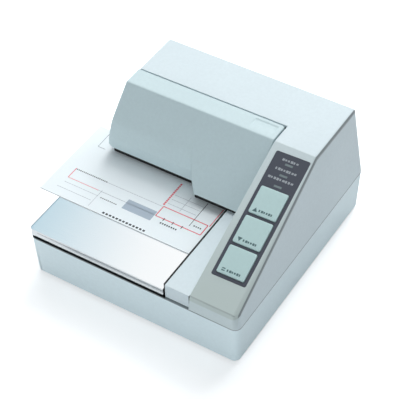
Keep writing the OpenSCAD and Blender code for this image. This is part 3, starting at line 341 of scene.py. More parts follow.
def metal(slot, colour, rough, streaks=None, patches=None, spread=0.06, depth=0.000004, turn=0.0, lines=None):
    """Two tones mixed by a noise that streaks stretch, with grey patches where asked for, and a painted
    reflection as a dull band where a mask is given.
    """
    f = Finish(slot)
    grain = f.noise(1.0 if streaks else 900.0, 3.0, f.stretched(streaks) if streaks else f.place)
    low, high = tones(colour, spread)
    tint = f.mixed(f.between(grain, 0.35, 0.65, 0.0, 1.0), low, high)
    if patches:
        cells = f.add("ShaderNodeTexVoronoi", Vector=f.place, Scale=patches)
        grey = f.add("ShaderNodeSeparateColor", Color=cells.outputs["Color"]).outputs["Red"]
        tint = f.mixed(f.between(grey, 0.0, 1.0, 0.0, 0.5), tint, tones(colour, spread * 3)[0])
    # Painted reflection where a mask is given.
    if lines:
        tint = f.mixed(lines(f), tint, light_of(FOLD_REFLECTION_GREY))
    f.put(Base_Color=tint, Metallic=1.0, Roughness=f.between(grain, 0.3, 0.7, rough - 0.05, rough + 0.06),
          Normal=f.bump(grain, depth))
    f.shader.inputs["Anisotropic"].default_value = turn


# Painted reflection: a dull band along the table's left fold.
def fold_reflection_band(f):
    return band(f, f.xyz()["X"], -81.1, -80.2)


metal("stainless", (0.985, 0.992, 0.998), 0.12, streaks=(30.0, 9000.0, 9000.0), spread=0.012,
      depth=0.0000008, turn=0.3, lines=fold_reflection_band)
metal("zinc", (0.760, 0.770, 0.785), 0.36, patches=180.0)
metal("steel", (0.840, 0.845, 0.855), 0.2, streaks=(4000.0, 60.0, 60.0), spread=0.05)
metal("brass", (0.845, 0.740, 0.440), 0.3)
print("metals:", ", ".join(list(FINISH)[-4:]))

# %% [markdown]
# ## Paint, film and boards
# Motor cans are sprayed: a cloudy coat over metal with a thin gloss on top. The panel's label, its lamp
# windows and all inks are satin films with a very fine grain. A circuit board is green solder mask
# over copper tracks, which a brick pattern copies well enough.

# %% Paint, film and board
def painted_can(slot, colour):
    f = Finish(slot)
    cloud = f.noise(90.0, 4.0)
    f.put(Base_Color=f.mixed(cloud, *tones(colour, 0.08)), Metallic=0.35,
          Roughness=f.between(cloud, 0.3, 0.7, 0.38, 0.5), Normal=f.bump(f.noise(1400.0), 0.00001),
          Coat_Weight=0.25, Coat_Roughness=0.3)


def film(slot, colour, rough):
    f = Finish(slot)
    grain = f.noise(5200.0, 1.0)
    f.put(Base_Color=f.mixed(f.noise(60.0), *tones(colour, 0.05)),
          Roughness=f.between(grain, 0.3, 0.7, rough - 0.04, rough + 0.04), Normal=f.bump(grain, 0.000006))


def board(slot, mask, copper):
    f = Finish(slot)
    tracks = f.add("ShaderNodeTexBrick", Vector=f.place, Scale=160.0, Mortar_Size=0.035,
                   Color1=light_of(mask), Color2=light_of(mask), Mortar=light_of(copper))
    speckle = f.mixed(f.noise(300.0), *tones(mask, 0.1))
    f.put(Base_Color=f.mixed(0.35, tracks.outputs["Color"], speckle),
          Roughness=f.between(f.noise(200.0), 0.3, 0.7, 0.28, 0.4),
          Normal=f.bump(tracks.outputs["Fac"], 0.00003), Coat_Weight=0.4, Coat_Roughness=0.2)


painted_can("motor", (0.345, 0.350, 0.365))
film("label", (0.265, 0.275, 0.315), 0.42)
film("lens", (0.470, 0.520, 0.530), 0.22)
film("cable", (0.870, 0.885, 0.905), 0.35)
board("pcb", (0.115, 0.375, 0.245), (0.345, 0.545, 0.345))
film("key_ink", (0.330, 0.430, 0.440), 0.45)
film("legend_ink", (0.620, 0.640, 0.660), 0.45)
film("red_ink", (0.890, 0.360, 0.405), 0.6)
film("grey_ink", (0.640, 0.665, 0.690), 0.6)
# Black ink, also used for the painted shadow along the slip's front edge.
film("black_ink_and_shadow", (0.200, 0.205, 0.225), 0.6)
film("field_ink", (0.690, 0.740, 0.790), 0.6)
print("paint, board, films and inks:", ", ".join(list(FINISH)[-11:]))

# %% [markdown]
# ## Paper and ribbon
# Paper is felted: its fibres lie mostly one way, so its noise is squeezed more along Y than along X.
# The ribbon is a fine fabric soaked in ink; two wave patterns at right angles, multiplied, weave it.

# %% Fibre finishes
def felted(slot, colour, rough=0.75, spread=0.012):
    f = Finish(slot)
    fibres = f.noise(1.0, 4.0, f.stretched((1500.0, 3200.0, 1500.0)), 0.6)
    f.put(Base_Color=f.mixed(f.between(fibres, 0.35, 0.65, 0.0, 1.0), *tones(colour, spread)),
          Roughness=f.between(fibres, 0.3, 0.7, rough - 0.05, rough + 0.05), Normal=f.bump(fibres, 0.00001))


def woven(slot, colour):
    f = Finish(slot)
    warp, weft = (f.add("ShaderNodeTexWave", Vector=f.place, Scale=900.0) for _ in range(2))
    weft.bands_direction = "Y"
    cloth = f.maths("MULTIPLY", warp.outputs["Fac"], weft.outputs["Fac"])
    f.put(Base_Color=f.mixed(cloth, *tones(colour, 0.35)),
          Roughness=f.between(f.noise(250.0), 0.3, 0.7, 0.6, 0.8), Normal=f.bump(cloth, 0.00003))


felted("paper", (0.960, 0.985, 0.995))
woven("ribbon_ink", (0.190, 0.095, 0.285))

# %% [markdown]
# ## Dress the solids
# Every solid of the frame starts with the finish that its slot names. Its mesh is not touched. Pieces
# that follow hide the solids whose skin deserves more than flat faces.

# %% Finishes on the solids
for node, solid in SOLIDS.items():
    solid.data.materials.clear()
    solid.data.materials.append(FINISH[SLOT_OF[node]])
print("dressed", len(SOLIDS), "solids")

# %% [markdown]
# ## Putting a piece in the scene
# A piece is one mesh made of closed parts. Its poles are merged and its normals turned outwards, then it
# rides on the body of the solid it stands for and takes that solid's slot.

# %% One piece from closed parts
def link_piece(name, mesh, body, slot, nodes=(), smooth=38.0):
    """Link a mesh as a named piece: smooth below an angle, riding on its body, standing for its solids."""
    work = bmesh.new()
    work.from_mesh(mesh)
    bmesh.ops.remove_doubles(work, verts=work.verts, dist=1e-6)
    bmesh.ops.recalc_face_normals(work, faces=work.faces)
    work.to_mesh(mesh)
    work.free()
    mesh.materials.clear()
    mesh.materials.append(FINISH[slot])
    mesh.shade_smooth()
    mesh.set_sharp_from_angle(angle=math.radians(smooth))
    piece = bpy.data.objects.new(name, mesh)
    bpy.context.scene.collection.objects.link(piece)
    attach(piece, body)
    if nodes:
        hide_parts(*nodes)
    return piece


def make(name, parts, body, slot, nodes=(), smooth=38.0):
    """Join parts, each points in millimetres and faces, into one piece."""
    points, faces, start = [], [], 0
    for part_points, part_faces in parts:
        points.append(part_points)
        faces += [[start + int(k) for k in face] for face in part_faces]
        start += len(part_points)
    mesh = bpy.data.meshes.new(name)
    mesh.from_pydata((np.concatenate(points) * MM).tolist(), [], faces)
    return link_piece(name, mesh, body, slot, nodes, smooth)


print("pieces can be linked")

# %% [markdown]
# ## Shells with soft edges
# A moulding never has a knife edge: the mould is cut with a small radius that catches a line of light.
# The solid's own form is already right, so the skin is a merged copy of it. Only its long sharp edges
# get a narrow bevel, since a bevel on every tiny edge of a rounded corner would fold over itself.
# Weighted normals then keep the large walls flat in the light.

# %% Bevelled copies of the shells
SHARP_ANGLE, SHORTEST_MM = 32.0, 4.0


def softened(node, width, name, paint):
    """A copy of a solid: doubles merged, flat faces joined, and every edge that is longer than the
    shortest length and sharper than the angle cut back by the width in millimetres."""
    mesh = SOLIDS[node].data.copy()
    work = bmesh.new()
    work.from_mesh(mesh)
    bmesh.ops.remove_doubles(work, verts=work.verts, dist=2e-6)
    bmesh.ops.dissolve_limit(work, angle_limit=math.radians(1.0), verts=work.verts, edges=work.edges)
    sharp = [e for e in work.edges if len(e.link_faces) == 2 and e.calc_length() > SHORTEST_MM * MM
             and e.calc_face_angle_signed(0.0) > math.radians(SHARP_ANGLE)]
    bmesh.ops.bevel(work, geom=sharp, offset=width * MM, offset_type="OFFSET", segments=2, profile=0.5,
                    affect="EDGES", clamp_overlap=False)
    bmesh.ops.dissolve_degenerate(work, edges=work.edges, dist=1e-6)
    work.to_mesh(mesh)
    work.free()
    piece = link_piece(name, mesh, BODY_OF[node], SLOT_OF[node], [node], smooth=SHARP_ANGLE)
    piece.data.materials[0] = FINISH[paint]
    piece.modifiers.new("flat_walls", "WEIGHTED_NORMAL").keep_sharp = True
    print(name, "has", len(sharp), "softened edges")


softened("upper_case", 0.35, "top_shell", "top_grey")
softened("lower_case", 0.35, "base_shell", "base_grey")
softened("table_strip", 0.3, "flat_strip", SLOT_OF["table_strip"])
softened("slip_guide", 0.12, "guide_edge", SLOT_OF["slip_guide"])

# %% [markdown]
# ## From two parameters to a mesh
# Nearly every form here is a surface p(row, column): a profile carried along a path, or rings that
# shrink towards a pole. numpy works out all its points at once, and the quads between neighbouring
# points are the same for every such grid, so one helper numbers them.

# %% Grids and walls
def grid_faces(rows, cols, wrap=False):
    """Quads between the points of a grid stored row by row. With wrap the last column meets the first."""
    r = np.arange(rows - 1)[:, None]
    c = np.arange(cols if wrap else cols - 1)[None, :]
    near, far = r * cols + c, r * cols + (c + 1) % cols
    return np.stack([near, far, far + cols, near + cols], -1).reshape(-1, 4)


def thick(outer, inner):
    """A closed wall between two skins on the same grid: both skins, and quads round the common border."""
    rows, cols = outer.shape[:2]
    faces = grid_faces(rows, cols)
    loop = np.concatenate([
        np.arange(cols), np.arange(1, rows) * cols + cols - 1,
        (rows - 1) * cols + np.arange(cols - 2, -1, -1), np.arange(rows - 2, 0, -1) * cols])
    after = np.roll(loop, -1)
    count = rows * cols
    rim = np.stack([loop, after, after + count, loop + count], -1)
    points = np.concatenate([outer.reshape(-1, 3), inner.reshape(-1, 3)])
    return points, np.concatenate([faces, faces[:, ::-1] + count, rim])


def soft_step(t):
    """3t^2 - 2t^3 between 0 and 1, flat outside."""
    t = np.clip(t, 0, 1)
    return t * t * (3 - 2 * t)


print("a grid of 3 by 4 points has", len(grid_faces(3, 4)), "quads")

# %% [markdown]
# ## The ribbon cover
# The cover is one thin moulding: a flat top, a rounded fold, and a face that leans 51 degrees. Left of
# the step the face turns almost upright, so that a form slides under it. Cutting the step out of a
# block would leave hard creases. Here y is a function of x and z: the softer maximum of the leaning
# plane and the upright one, faded in over the step, so the moulding's soft transition comes by itself.

# %% Cover face
FACE_LEAN = math.radians(51.2)
FACE_TAN = math.tan(FACE_LEAN)
COVER_L, COVER_R, COVER_TOP = cover_low[0], cover_high[0] - 0.35, cover_high[2]
COVER_H, COVER_WALL, CORNER = 49.8, 2.2, 5.0
STEP_L, STEP_R = COVER_R - 58.0, COVER_R - 43.0
FOOT_L, FOOT_RISE = cover_low[2], 2.9
UPRIGHT_Y, UPRIGHT_LEAN, BLEND = 4.95, 0.2464, 5.0
KNEE_LOW, KNEE_HIGH = 61.7, 75.7


def face_y(x, z, inset):
    """Depth of the face at x and z: the leaning plane, blended left of the step with the soft maximum
    (a + b + sqrt((a - b)^2 + k)) / 2 of the leaning plane a and the upright one b."""
    lean = FOLD_Y - (COVER_TOP - z) / FACE_TAN + inset / math.sin(FACE_LEAN)
    upright = UPRIGHT_Y + inset + UPRIGHT_LEAN * np.maximum(z - KNEE_LOW, 0)
    tucked = (lean + upright + np.sqrt((lean - upright) ** 2 + BLEND)) / 2
    border = STEP_L - 1.5 + 6.0 * np.clip((KNEE_HIGH - z) / 14, 0, 1) + 0.75 * np.maximum(KNEE_LOW - z, 0)
    return lean + (tucked - lean) * soft_step((border - x) / 4.0 + 0.5)


def foot_z(x):
    """Height of the face's foot: low left of the step, a little higher right of it."""
    return FOOT_L + FOOT_RISE * soft_step((x - STEP_L) / (STEP_R - STEP_L))


def leaned(x, z):
    """The left end leans outwards like the case: x moves left with the depth below the top, fading to
    nothing at the step."""
    return x - 4.0 * (COVER_TOP - z) / COVER_H * np.clip((STEP_L - x) / (STEP_L - COVER_L), 0, 1)


print("step from", round(float(STEP_L), 1), "to", round(float(STEP_R), 1), "mm")

# %% [markdown]
# The skin's rows run down the profile and its columns run across. Three stretches make the middle: the
# top, the fold as an arc, and the face. A shallow dish near the top's right end is the rest for the
# finger that lifts the cover.

# %% Middle of the cover
def finger_rest(x, y):
    """Depth of the dish: four soft steps, one for each of its sides, multiplied."""
    across = soft_step((x - COVER_R + 23.4) / 0.8) * soft_step((COVER_R - 3.4 - x) / 0.8)
    return 0.5 * across * soft_step((y - FOLD_Y - 2.5) / 9) * soft_step((SEAM_Y - 3.6 - y) / 1.4)


def rear_edge(x):
    """The line of the seam, with a quarter ellipse at its right end."""
    return SEAM_Y - 1.4 - 2.6 * (1 - np.sqrt(1 - np.clip((x - (COVER_R - 2.6)) / 2.7, 0, 1) ** 2))


def cover_middle(x, inset):
    """Points of the columns x, moved in by inset: a line for the top, an arc of the fold radius, and the
    face down to its foot, which curves up by CORNER - sqrt(CORNER^2 - c^2) in the left corner."""
    top, fold = COVER_TOP - inset, max(2.0 - inset, 0.3)
    crest = FOLD_Y + inset * (1 / math.sin(FACE_LEAN) - 1 / FACE_TAN) + fold * math.tan(FACE_LEAN / 2)
    y_top = rear_edge(x) + (crest - rear_edge(x)) * np.linspace(0, 1, 40)[:, None]
    turn = np.linspace(0, FACE_LEAN, 9)[1:-1, None]
    start = top - fold * (1 - math.cos(FACE_LEAN))
    corner = np.clip(COVER_L + CORNER - x, 0, CORNER)
    foot = foot_z(x) + CORNER - np.sqrt(CORNER ** 2 - corner ** 2)
    z_face = start + (foot - start) * np.linspace(0, 1, 60)[:, None]
    y = np.concatenate([y_top, crest - fold * np.sin(turn) + 0 * x, face_y(x, z_face, inset)])
    z = np.concatenate([np.full_like(y_top, top), top - fold * (1 - np.cos(turn)) + 0 * x, z_face])
    if inset == 0:
        z = z - finger_rest(x, y) * (z > top - 0.01)
    return np.stack([x + 0 * y, y, z], -1)


print("finger rest", round(float(finger_rest(COVER_R - 12, FOLD_Y + 11.6)), 2), "mm deep")

# %% [markdown]
# Both ends turn over a small radius into flat walls that run back to the hinge side. Near the hinge the
# skin keeps a fixed distance from the pins, so that the cover can swing without meeting the roof.

# %% Ends and whole skin
HINGE_Y, HINGE_Z, HINGE_ROOM = 56.15, 95.5, 10.98


def cover_end(profile, x0, sign, bend, top, back):
    """One end: the profile drawn in along its normals by a quarter circle, then straight lines to the
    end's rear edge. sign is -1 for the left end, 1 for the right."""
    along = np.gradient(profile, axis=0)
    out = np.stack([along[:, 1], -along[:, 0]], -1) / np.linalg.norm(along, axis=1, keepdims=True)
    angle = np.linspace(0, np.pi / 2, 6)[1:]
    drawn = profile[:, None] - out[:, None] * (bend * (1 - np.cos(angle)))[None, :, None]
    x_turn = np.broadcast_to(x0 - sign * bend * (1 - np.sin(angle)), drawn.shape[:2])
    rim = np.concatenate([x_turn[..., None], drawn], -1)
    count = len(profile)
    low = FOOT_L if sign < 0 else FOOT_L + FOOT_RISE
    height = top - bend + (low - top + bend) * np.linspace(0, 1, count)
    home = np.stack([np.full(count, x0), np.full(count, back), height], -1)
    wall = rim[:, -1:] + (home[:, None] - rim[:, -1:]) * np.linspace(0, 1, 16)[1:, None]
    side = np.concatenate([rim, wall], 1)
    return side[:, ::-1] if sign < 0 else side


def cover_skin(inset):
    """One skin of the cover, moved in by inset: left end, middle and right end side by side. Points that
    come too near the hinge move out to HINGE_ROOM from it, and the left end leans."""
    left, right, top = COVER_L + inset, COVER_R - inset, COVER_TOP - inset
    bend = max(0.9 - inset, 0.1)
    x = np.unique(np.concatenate([
        np.linspace(left + bend, right - bend, 120), left + np.linspace(bend, 6, 12),
        np.linspace(STEP_L - 6, STEP_R + 6, 40), right - np.linspace(bend, 25, 50)]))
    middle, back = cover_middle(x, inset), rear_edge(x)
    first = cover_end(middle[:, 0, 1:], left, -1, bend, top, back[0])
    last = cover_end(middle[:, -1, 1:], right, 1, bend, top, back[-1])
    skin = np.concatenate([first, middle, last], 1)
    arm = skin[..., 1:] - [HINGE_Y, HINGE_Z]
    far = np.linalg.norm(arm, axis=-1, keepdims=True)
    skin[..., 1:] = [HINGE_Y, HINGE_Z] + arm * np.maximum(HINGE_ROOM / far, 1)
    skin[..., 0] = leaned(skin[..., 0], skin[..., 2])
    return skin


shell = thick(cover_skin(0.0), cover_skin(COVER_WALL))
print("cover wall of", len(shell[0]), "points")

# %% [markdown]
# Two goosenecks reach from the cover's ends below the roof's edge to the hinge pins. Each is a plate
# that follows a ring about the hinge, so it never meets the roof as the cover swings. Three ribs
# stiffen the flat top.

# %% Plates and turned bodies
def prism_x(outline, x0, x1):
    """A plate across X: its outline in Y and Z carried from x0 to x1, with both ends closed."""
    outline = np.asarray(outline, float)
    n = len(outline)
    ends = [np.column_stack([np.full(n, x), outline]) for x in (x0, x1)]
    sides = grid_faces(2, n, wrap=True).tolist()
    return np.concatenate(ends), sides + [list(range(n))] + [list(range(2 * n - 1, n - 1, -1))]


def block_x(x0, x1, y0, y1, z0, z1):
    """A box as the plainest plate."""
    return prism_x([(y0, z0), (y1, z0), (y1, z1), (y0, z1)], x0, x1)


def turned(profile, centre, axis, steps=32):
    """A turned body: each profile point (radius, height) goes once round the axis through the centre."""
    profile = np.asarray(profile, float)
    axis = np.asarray(axis, float)
    side = np.cross(axis, [0.0, 0.6, 0.8] if abs(axis[2]) < 0.7 else [1.0, 0, 0])
    side = side / np.linalg.norm(side)
    turn = np.linspace(0, 2 * np.pi, steps, endpoint=False)[:, None]
    round_it = np.cos(turn) * side + np.sin(turn) * np.cross(axis, side)
    points = np.asarray(centre) + profile[:, None, :1] * round_it + profile[:, None, 1:] * axis
    return points.reshape(-1, 3), grid_faces(len(profile), steps, wrap=True)


print("plates and turned bodies ready")

# %% Goosenecks, pins and ribs
NECK_OUT, NECK_IN, EYE_R, NECK_T = 13.5, 11.05, 2.8, 1.8
ARM_L, ARM_R = COVER_L + 3.4, COVER_R - 4.5


def hinge_arc(start, end, radius, steps):
    """Points at one distance from the hinge, from one angle to another in degrees."""
    turn = np.radians(np.linspace(start, end, steps))
    return np.stack([HINGE_Y + radius * np.cos(turn), HINGE_Z + radius * np.sin(turn)], -1)


neck = np.concatenate([hinge_arc(169.6, 266, NECK_OUT, 20), hinge_arc(0, 180, EYE_R, 12),
                       hinge_arc(247.8, 169.6, NECK_IN, 16)])
fittings = [prism_x(neck, x, x + NECK_T) for x in (ARM_L, ARM_R)]
fittings += [block_x(a, b, HINGE_Y - NECK_OUT, HINGE_Y - NECK_IN, HINGE_Z - 8, HINGE_Z + 2)
             for a, b in ((COVER_L + 1.1, ARM_L + 0.5), (ARM_R + 1.3, COVER_R - 1.1))]
PIN = [(0, 0), (1.5, 0), (1.5, 4.6), (0, 4.6)]
fittings += [turned(PIN, (x, HINGE_Y, HINGE_Z), (1, 0, 0), 20) for x in (ARM_L, ARM_R - 2.8)]
fittings += [block_x(x, x + 1.4, FOLD_Y + 4, SEAM_Y - 4.5, COVER_TOP - 4.2, COVER_TOP - 2.0)
             for x in COVER_L + (COVER_R - COVER_L) * np.array([0.25, 0.5, 0.75])]
make("cover_shell", [shell] + fittings, "cover", "cover_grey", ["ribbon_cover"])
print("cover with", len(fittings), "fittings")

# %% [markdown]
# A black strip under the face is painted shade: it stands for the shade deep in the mouth. It follows
# the face's foot, so it is the same function again, carried along X as a closed strip of four rows.
# Behind the cover a black bar, painted shade for the dark seam, comes in three lengths that leave room
# for the goosenecks.

# %% Painted shade in the mouth and the seam
# Painted shade: a black strip under the cover's face, where the mouth lies in shade.
LIP_COLS, LIP_IN, LIP_OUT, LIP_UP = 120, 0.7, 2.0, 0.02
x = np.linspace(COVER_L + 4.5, COVER_R - 2.4, LIP_COLS)
foot = foot_z(x)
above_slip = np.maximum(slip_high[2] + 0.75, foot - 3.6)
under = np.where(x > strip_low[0] - 1.6, strip_high[2] + 0.35, above_slip)
rows = ((LIP_IN, foot - LIP_UP), (LIP_IN, under), (LIP_OUT, under), (LIP_OUT, foot - LIP_UP))
lip = np.stack([np.stack([leaned(x, foot), face_y(x, foot, 0.0) + dy, z], -1) for dy, z in rows])
first, last = np.arange(4) * LIP_COLS, np.arange(4) * LIP_COLS + LIP_COLS - 1
k = np.arange(LIP_COLS - 1)
closing = np.stack([first[3] + k, first[3] + 1 + k, 1 + k, k], -1)
ends = np.array([first, last[[0, 3, 2, 1]]])
faces = np.concatenate([grid_faces(4, LIP_COLS), closing, ends])
make("mouth_shade", [(lip.reshape(-1, 3), faces)], "cover", "rubber")

# Painted shade: a black bar under the seam behind the cover, where the gap lies in shade.
SHADE_BAR_LOW, SHADE_BAR_STEP, SHADE_BAR_TOP = 96.8, 98.6, 99.1
seam_shade = [(SEAM_Y - 1.35, SHADE_BAR_LOW), (SEAM_Y + 1.3, SHADE_BAR_LOW), (SEAM_Y + 1.3, SHADE_BAR_TOP),
        (SEAM_Y - 0.3, SHADE_BAR_TOP), (SEAM_Y - 0.3, SHADE_BAR_STEP), (SEAM_Y - 1.35, SHADE_BAR_STEP)]
free = ((COVER_L + 1, ARM_L - 0.25), (ARM_L + 2.05, ARM_R - 0.25), (ARM_R + 2.05, COVER_R + 0.5))
make("seam_shade_bar", [prism_x(seam_shade, a, b) for a, b in free], "case", "rubber")
print("lip of", len(faces), "quads and a seal in", len(free), "lengths")

# %% [markdown]
# ## The steel table
# The table is one folded sheet of stainless steel: flat on top, with a short apron at its front and
# left. Columns run along the front left outline, round its corner; rows run from the far right corner
# to that outline, over the fold and down the apron. At the front, where the flat strip ends at the key
# block, a thin black bar is painted shade: it stands for the shade in that joint.

# %% Table sheet
SHEET_T, FOLD_R, TABLE_CORNER, GROOVE = 1.0, 1.1, 3.0, 0.22


def table_outline(inset):
    """The left side, a quarter circle and the front, with the outward direction at each point."""
    x0, y0 = table_low[0] + inset, table_low[1] + inset
    x1, y1 = table_high[0] - 0.02, table_high[1]
    r = TABLE_CORNER - inset
    turn = np.linspace(0, np.pi / 2, 12)[1:-1]
    way = -np.stack([np.cos(turn), np.sin(turn)], -1)
    left = np.stack([np.full(40, x0), np.linspace(y1, y0 + r, 40)], -1)
    front = np.stack([np.linspace(x0 + r, x1, 60), np.full(60, y0)], -1)
    out = np.concatenate([np.tile([[-1.0, 0.0]], (40, 1)), way, np.tile([[0.0, -1.0]], (60, 1))])
    return np.concatenate([left, np.array([x0 + r, y0 + r]) + way * r, front]), out, np.array([x1, y1])


def table_skin(inset):
    """The sheet's skin, moved in by inset: straight lines from one pole to each outline point, then an arc
    of the fold radius and the apron, which sinks in by a shallow groove half way down."""
    outline, out, pole = table_outline(inset)
    fold = max(FOLD_R - inset, 0.1)
    start = outline - out * fold
    share = np.append(np.linspace(0, 0.99, 7), 1.0)[:, None, None]
    arc = np.linspace(0, np.pi / 2, 6)[1:, None, None]
    drop = np.linspace(0, 1, 14)[1:, None]
    sink = GROOVE * soft_step((0.5 - np.abs(drop - 0.5)) * 8 - 1.6)
    top = TABLE_Z - inset
    flat = np.concatenate([pole + (start - pole) * share, start + out * fold * np.sin(arc),
                           outline - out * sink[..., None]])
    z = np.concatenate([np.full((8, 1), top), top - fold * (1 - np.cos(arc[:, :, 0])),
                        top - fold + (table_low[2] - top + fold) * drop])
    return np.concatenate([flat, np.broadcast_to(z[..., None], flat.shape[:2] + (1,))], -1)


sheet = thick(table_skin(0.0), table_skin(SHEET_T))
make("table_sheet", [sheet], "case", "stainless", ["slip_table"], smooth=30.0)
JOINT_X, JOINT_TOP = strip_high[0], 51.3
# Painted shade: a black bar in the narrow joint between the flat strip and the key block.
shade_filler = block_x(JOINT_X - 0.3, JOINT_X + 0.55, -93.62, -92.0, SPLIT_Z + 0.4, JOINT_TOP)
make("joint_shade", [shade_filler], "case", "rubber")
print("table folded from", len(sheet[0]), "points")

# %% [markdown]
# ## Keys and the sloping panel
# Each key is a satin pad with a slightly crowned top, a skirt that holds it under the shell, and a stem
# that reaches the switch. A bevelled cube would do for the pad, but rings that shrink towards a pole
# give the crown and the rounded rims in one surface. Everything on the panel is made flat and then
# turned into the slope by one matrix.

# %% Pads and where they go
def pad(width, length, corner, low, high, edge=0.3, crown=0.0, steps=6):
    """A flat body with rounded corners and edges. Its outline has a quarter circle at each corner; every
    row is that outline, moved in by a quarter circle near the top and bottom rims, and the caps shrink it
    to a pole, raised by crown times 1 - share squared."""
    turn = np.arange(4)[:, None] * np.pi / 2 + np.linspace(0, np.pi / 2, steps + 1)
    ways = np.stack([np.cos(turn), np.sin(turn)], -1).reshape(-1, 2)
    signs = np.repeat(np.array([[1, 1], [-1, 1], [-1, -1], [1, -1]]), steps + 1, axis=0)
    edge = min(edge, corner * 0.98, (high - low) / 2)
    bend = np.linspace(0, np.pi / 2, 5)
    share = np.array([0, 0.5, 0.8, 1.0])
    inset = np.concatenate([np.full(4, edge), edge * (1 - np.sin(bend)), edge * (1 - np.cos(bend)),
                            np.full(4, edge)])
    shrink = np.concatenate([share, np.ones(10), share[::-1]])[:, None, None]
    height = np.concatenate([np.full(4, low), low + edge * (1 - np.cos(bend)),
                             high - edge * (1 - np.sin(bend)), high + crown * (1 - share[::-1] ** 2)])
    flat = signs * [width / 2 - corner, length / 2 - corner] + ways * (corner - inset)[:, None, None]
    up = np.broadcast_to(height[:, None, None], (18, len(ways), 1))
    return np.concatenate([flat * shrink, up], -1).reshape(-1, 3), grid_faces(18, len(ways), wrap=True)


def placed(part, matrix):
    """The same part after a turn and shift: points times the matrix's turn, plus its shift."""
    points, faces = part
    m = np.asarray(matrix, float)
    return points @ m[:3, :3].T + m[:3, 3], faces


print("pads ready")

# %% Panel places
KEY, PITCH, LABEL_L, LABEL_START, KEY_START = 22.2, 24.8, 104.3, 6.2, 1.7
FRONT_Y, FRONT_TOP = -93.5, 51.5
CASE_X, BLOCK_X, BLOCK_W, LABEL_SHARE, LABEL_TURN = 9.15, 49.5, 40.5, 0.448, math.radians(1.3)
SLOPE = math.atan2(ROOF_Z - FRONT_TOP, FOLD_Y - FRONT_Y)
PANEL = (Matrix.Translation((CASE_X + BLOCK_X + BLOCK_W * LABEL_SHARE, FOLD_Y, ROOF_Z))
         @ Matrix.Rotation(SLOPE, 4, "X") @ Matrix.Translation((0, -LABEL_START - LABEL_L / 2, 0))
         @ Matrix.Rotation(LABEL_TURN, 4, "Z"))
KEY_Y = [KEY_START - LABEL_L / 2 + (i + 0.5) * PITCH for i in range(3)]


def on_panel(part, y=0.0):
    return placed(part, PANEL @ Matrix.Translation((0, y, 0)))


print("panel slopes by", round(math.degrees(SLOPE), 2), "degrees")

# %% [markdown]
# The printing on the keys is generic: an arrow for the way the paper goes, or two bars on the key that
# frees it, and a row of dashes as long as a word would be. Ink has almost no height, but as closed
# bars a tenth of a millimetre high it needs no image and stays crisp.

# %% Marks
def bars(strokes, low, high):
    """Flat printed bars, each a closed box: strokes are rows of x0, y0, x1, y1 and width, and the four
    corners of each are its two ends moved sideways by half the width."""
    s = np.asarray(strokes, float)
    a, b = s[:, None, 0:2], s[:, None, 2:4]
    way = (b - a) / np.linalg.norm(b - a, axis=-1, keepdims=True)
    side = np.stack([-way[..., 1], way[..., 0]], -1) * s[:, None, 4:5] / 2
    flat = np.concatenate([a - side, b - side, b + side, a + side], 1)
    both = np.concatenate([np.concatenate([flat, np.full(flat.shape[:2] + (1,), z)], -1)
                           for z in (low, high)], 1)
    box = np.array([[3, 2, 1, 0], [4, 5, 6, 7], [0, 1, 5, 4], [1, 2, 6, 5], [2, 3, 7, 6], [3, 0, 4, 7]])
    return both.reshape(-1, 3), (box + 8 * np.arange(len(s))[:, None, None]).reshape(-1, 4)


def arrow(x, y, way, size):
    """A solid arrow head, up the panel for way 1 and down for -1: six short bars whose half length
    falls evenly to the tip."""
    rows = np.linspace(-0.5, 0.5, 6)
    half = size * (0.5 - way * rows) * 0.62 + 0.12
    return [(x - h, y + r * size, x + h, y + r * size, size / 5 + 0.05) for r, h in zip(rows, half)]


def dashes(x, y, width, height, count):
    """A row of equal cells; each cell's dash fills 0.55 to 0.85 of it, after a fixed wave of its number."""
    k = np.arange(count)
    cell = width / count
    fill = cell * (0.70 + 0.15 * np.sin(2.4 * k + width))
    start = x - width / 2 + k * cell
    tall = height * (0.85 + 0.15 * np.cos(1.7 * k + width))
    return [(a, y, a + f, y, t) for a, f, t in zip(start, fill, tall)]


print("an arrow takes", len(arrow(0, 0, 1, 2.6)), "strokes")

# %% Keys with their marks
KEY_TOP, SKIRT_TOP, KEY_LOW, MARK_SIZE = 1.1, -3.12, -3.7, 2.6
STEM = [(0, -9), (2.2, -9), (2.5, -8.7), (2.5, -3.6), (0, -3.6)]
LINE_Y = -KEY / 2 + 3.2
TWO_BARS = [(-7.9, LINE_Y + s, -5.3, LINE_Y + s, 0.8) for s in (0.8, -0.8)]
for node, way, y in zip(("release_key", "reverse_key", "forward_key"), (0, -1, 1), KEY_Y):
    body = pad(KEY, KEY, 1.2, KEY_LOW, KEY_TOP, edge=0.45, crown=0.06)
    skirt = pad(KEY + 2.4, KEY + 1.2, 1.0, -4.3, SKIRT_TOP, edge=0.2)
    stem = turned(STEM, (0, 0, 0), (0, 0, 1), 24)
    parts = [on_panel(part, y) for part in (body, skirt, stem)]
    make(node + "_pad", parts, BODY_OF[node], SLOT_OF[node], [node])
    marks = (arrow(-6.6, LINE_Y, way, MARK_SIZE) if way else TWO_BARS) + dashes(1.9, LINE_Y, 11.5, 1.9, 6)
    ink = on_panel(bars(marks, KEY_TOP - 0.02, KEY_TOP + 0.09), y)
    make(node + "_marks", [ink], BODY_OF[node], "key_ink")
print("three keys,", round(KEY, 1), "mm wide")

# %% [markdown]
# The label's upper part names three lamps. The names are left generic: a bar of dashes above each
# small window, as long as a word would be.

# %% Lamp marks
LABEL_TOP = LABEL_L / 2
NAMES = ((0, 4.95, 13.5, 1.9, 6), (0.2, 12.9, 17.4, 2.1, 8), (-0.3, 20.6, 20.6, 2.1, 9))
lamp_rows = [d for x, down, width, height, count in NAMES
             for d in dashes(x, LABEL_TOP - down, width, height, count)]
make("lamp_names", [on_panel(bars(lamp_rows, 0.05, 0.13))], "case", "legend_ink")
print(len(lamp_rows), "dashes on the label")
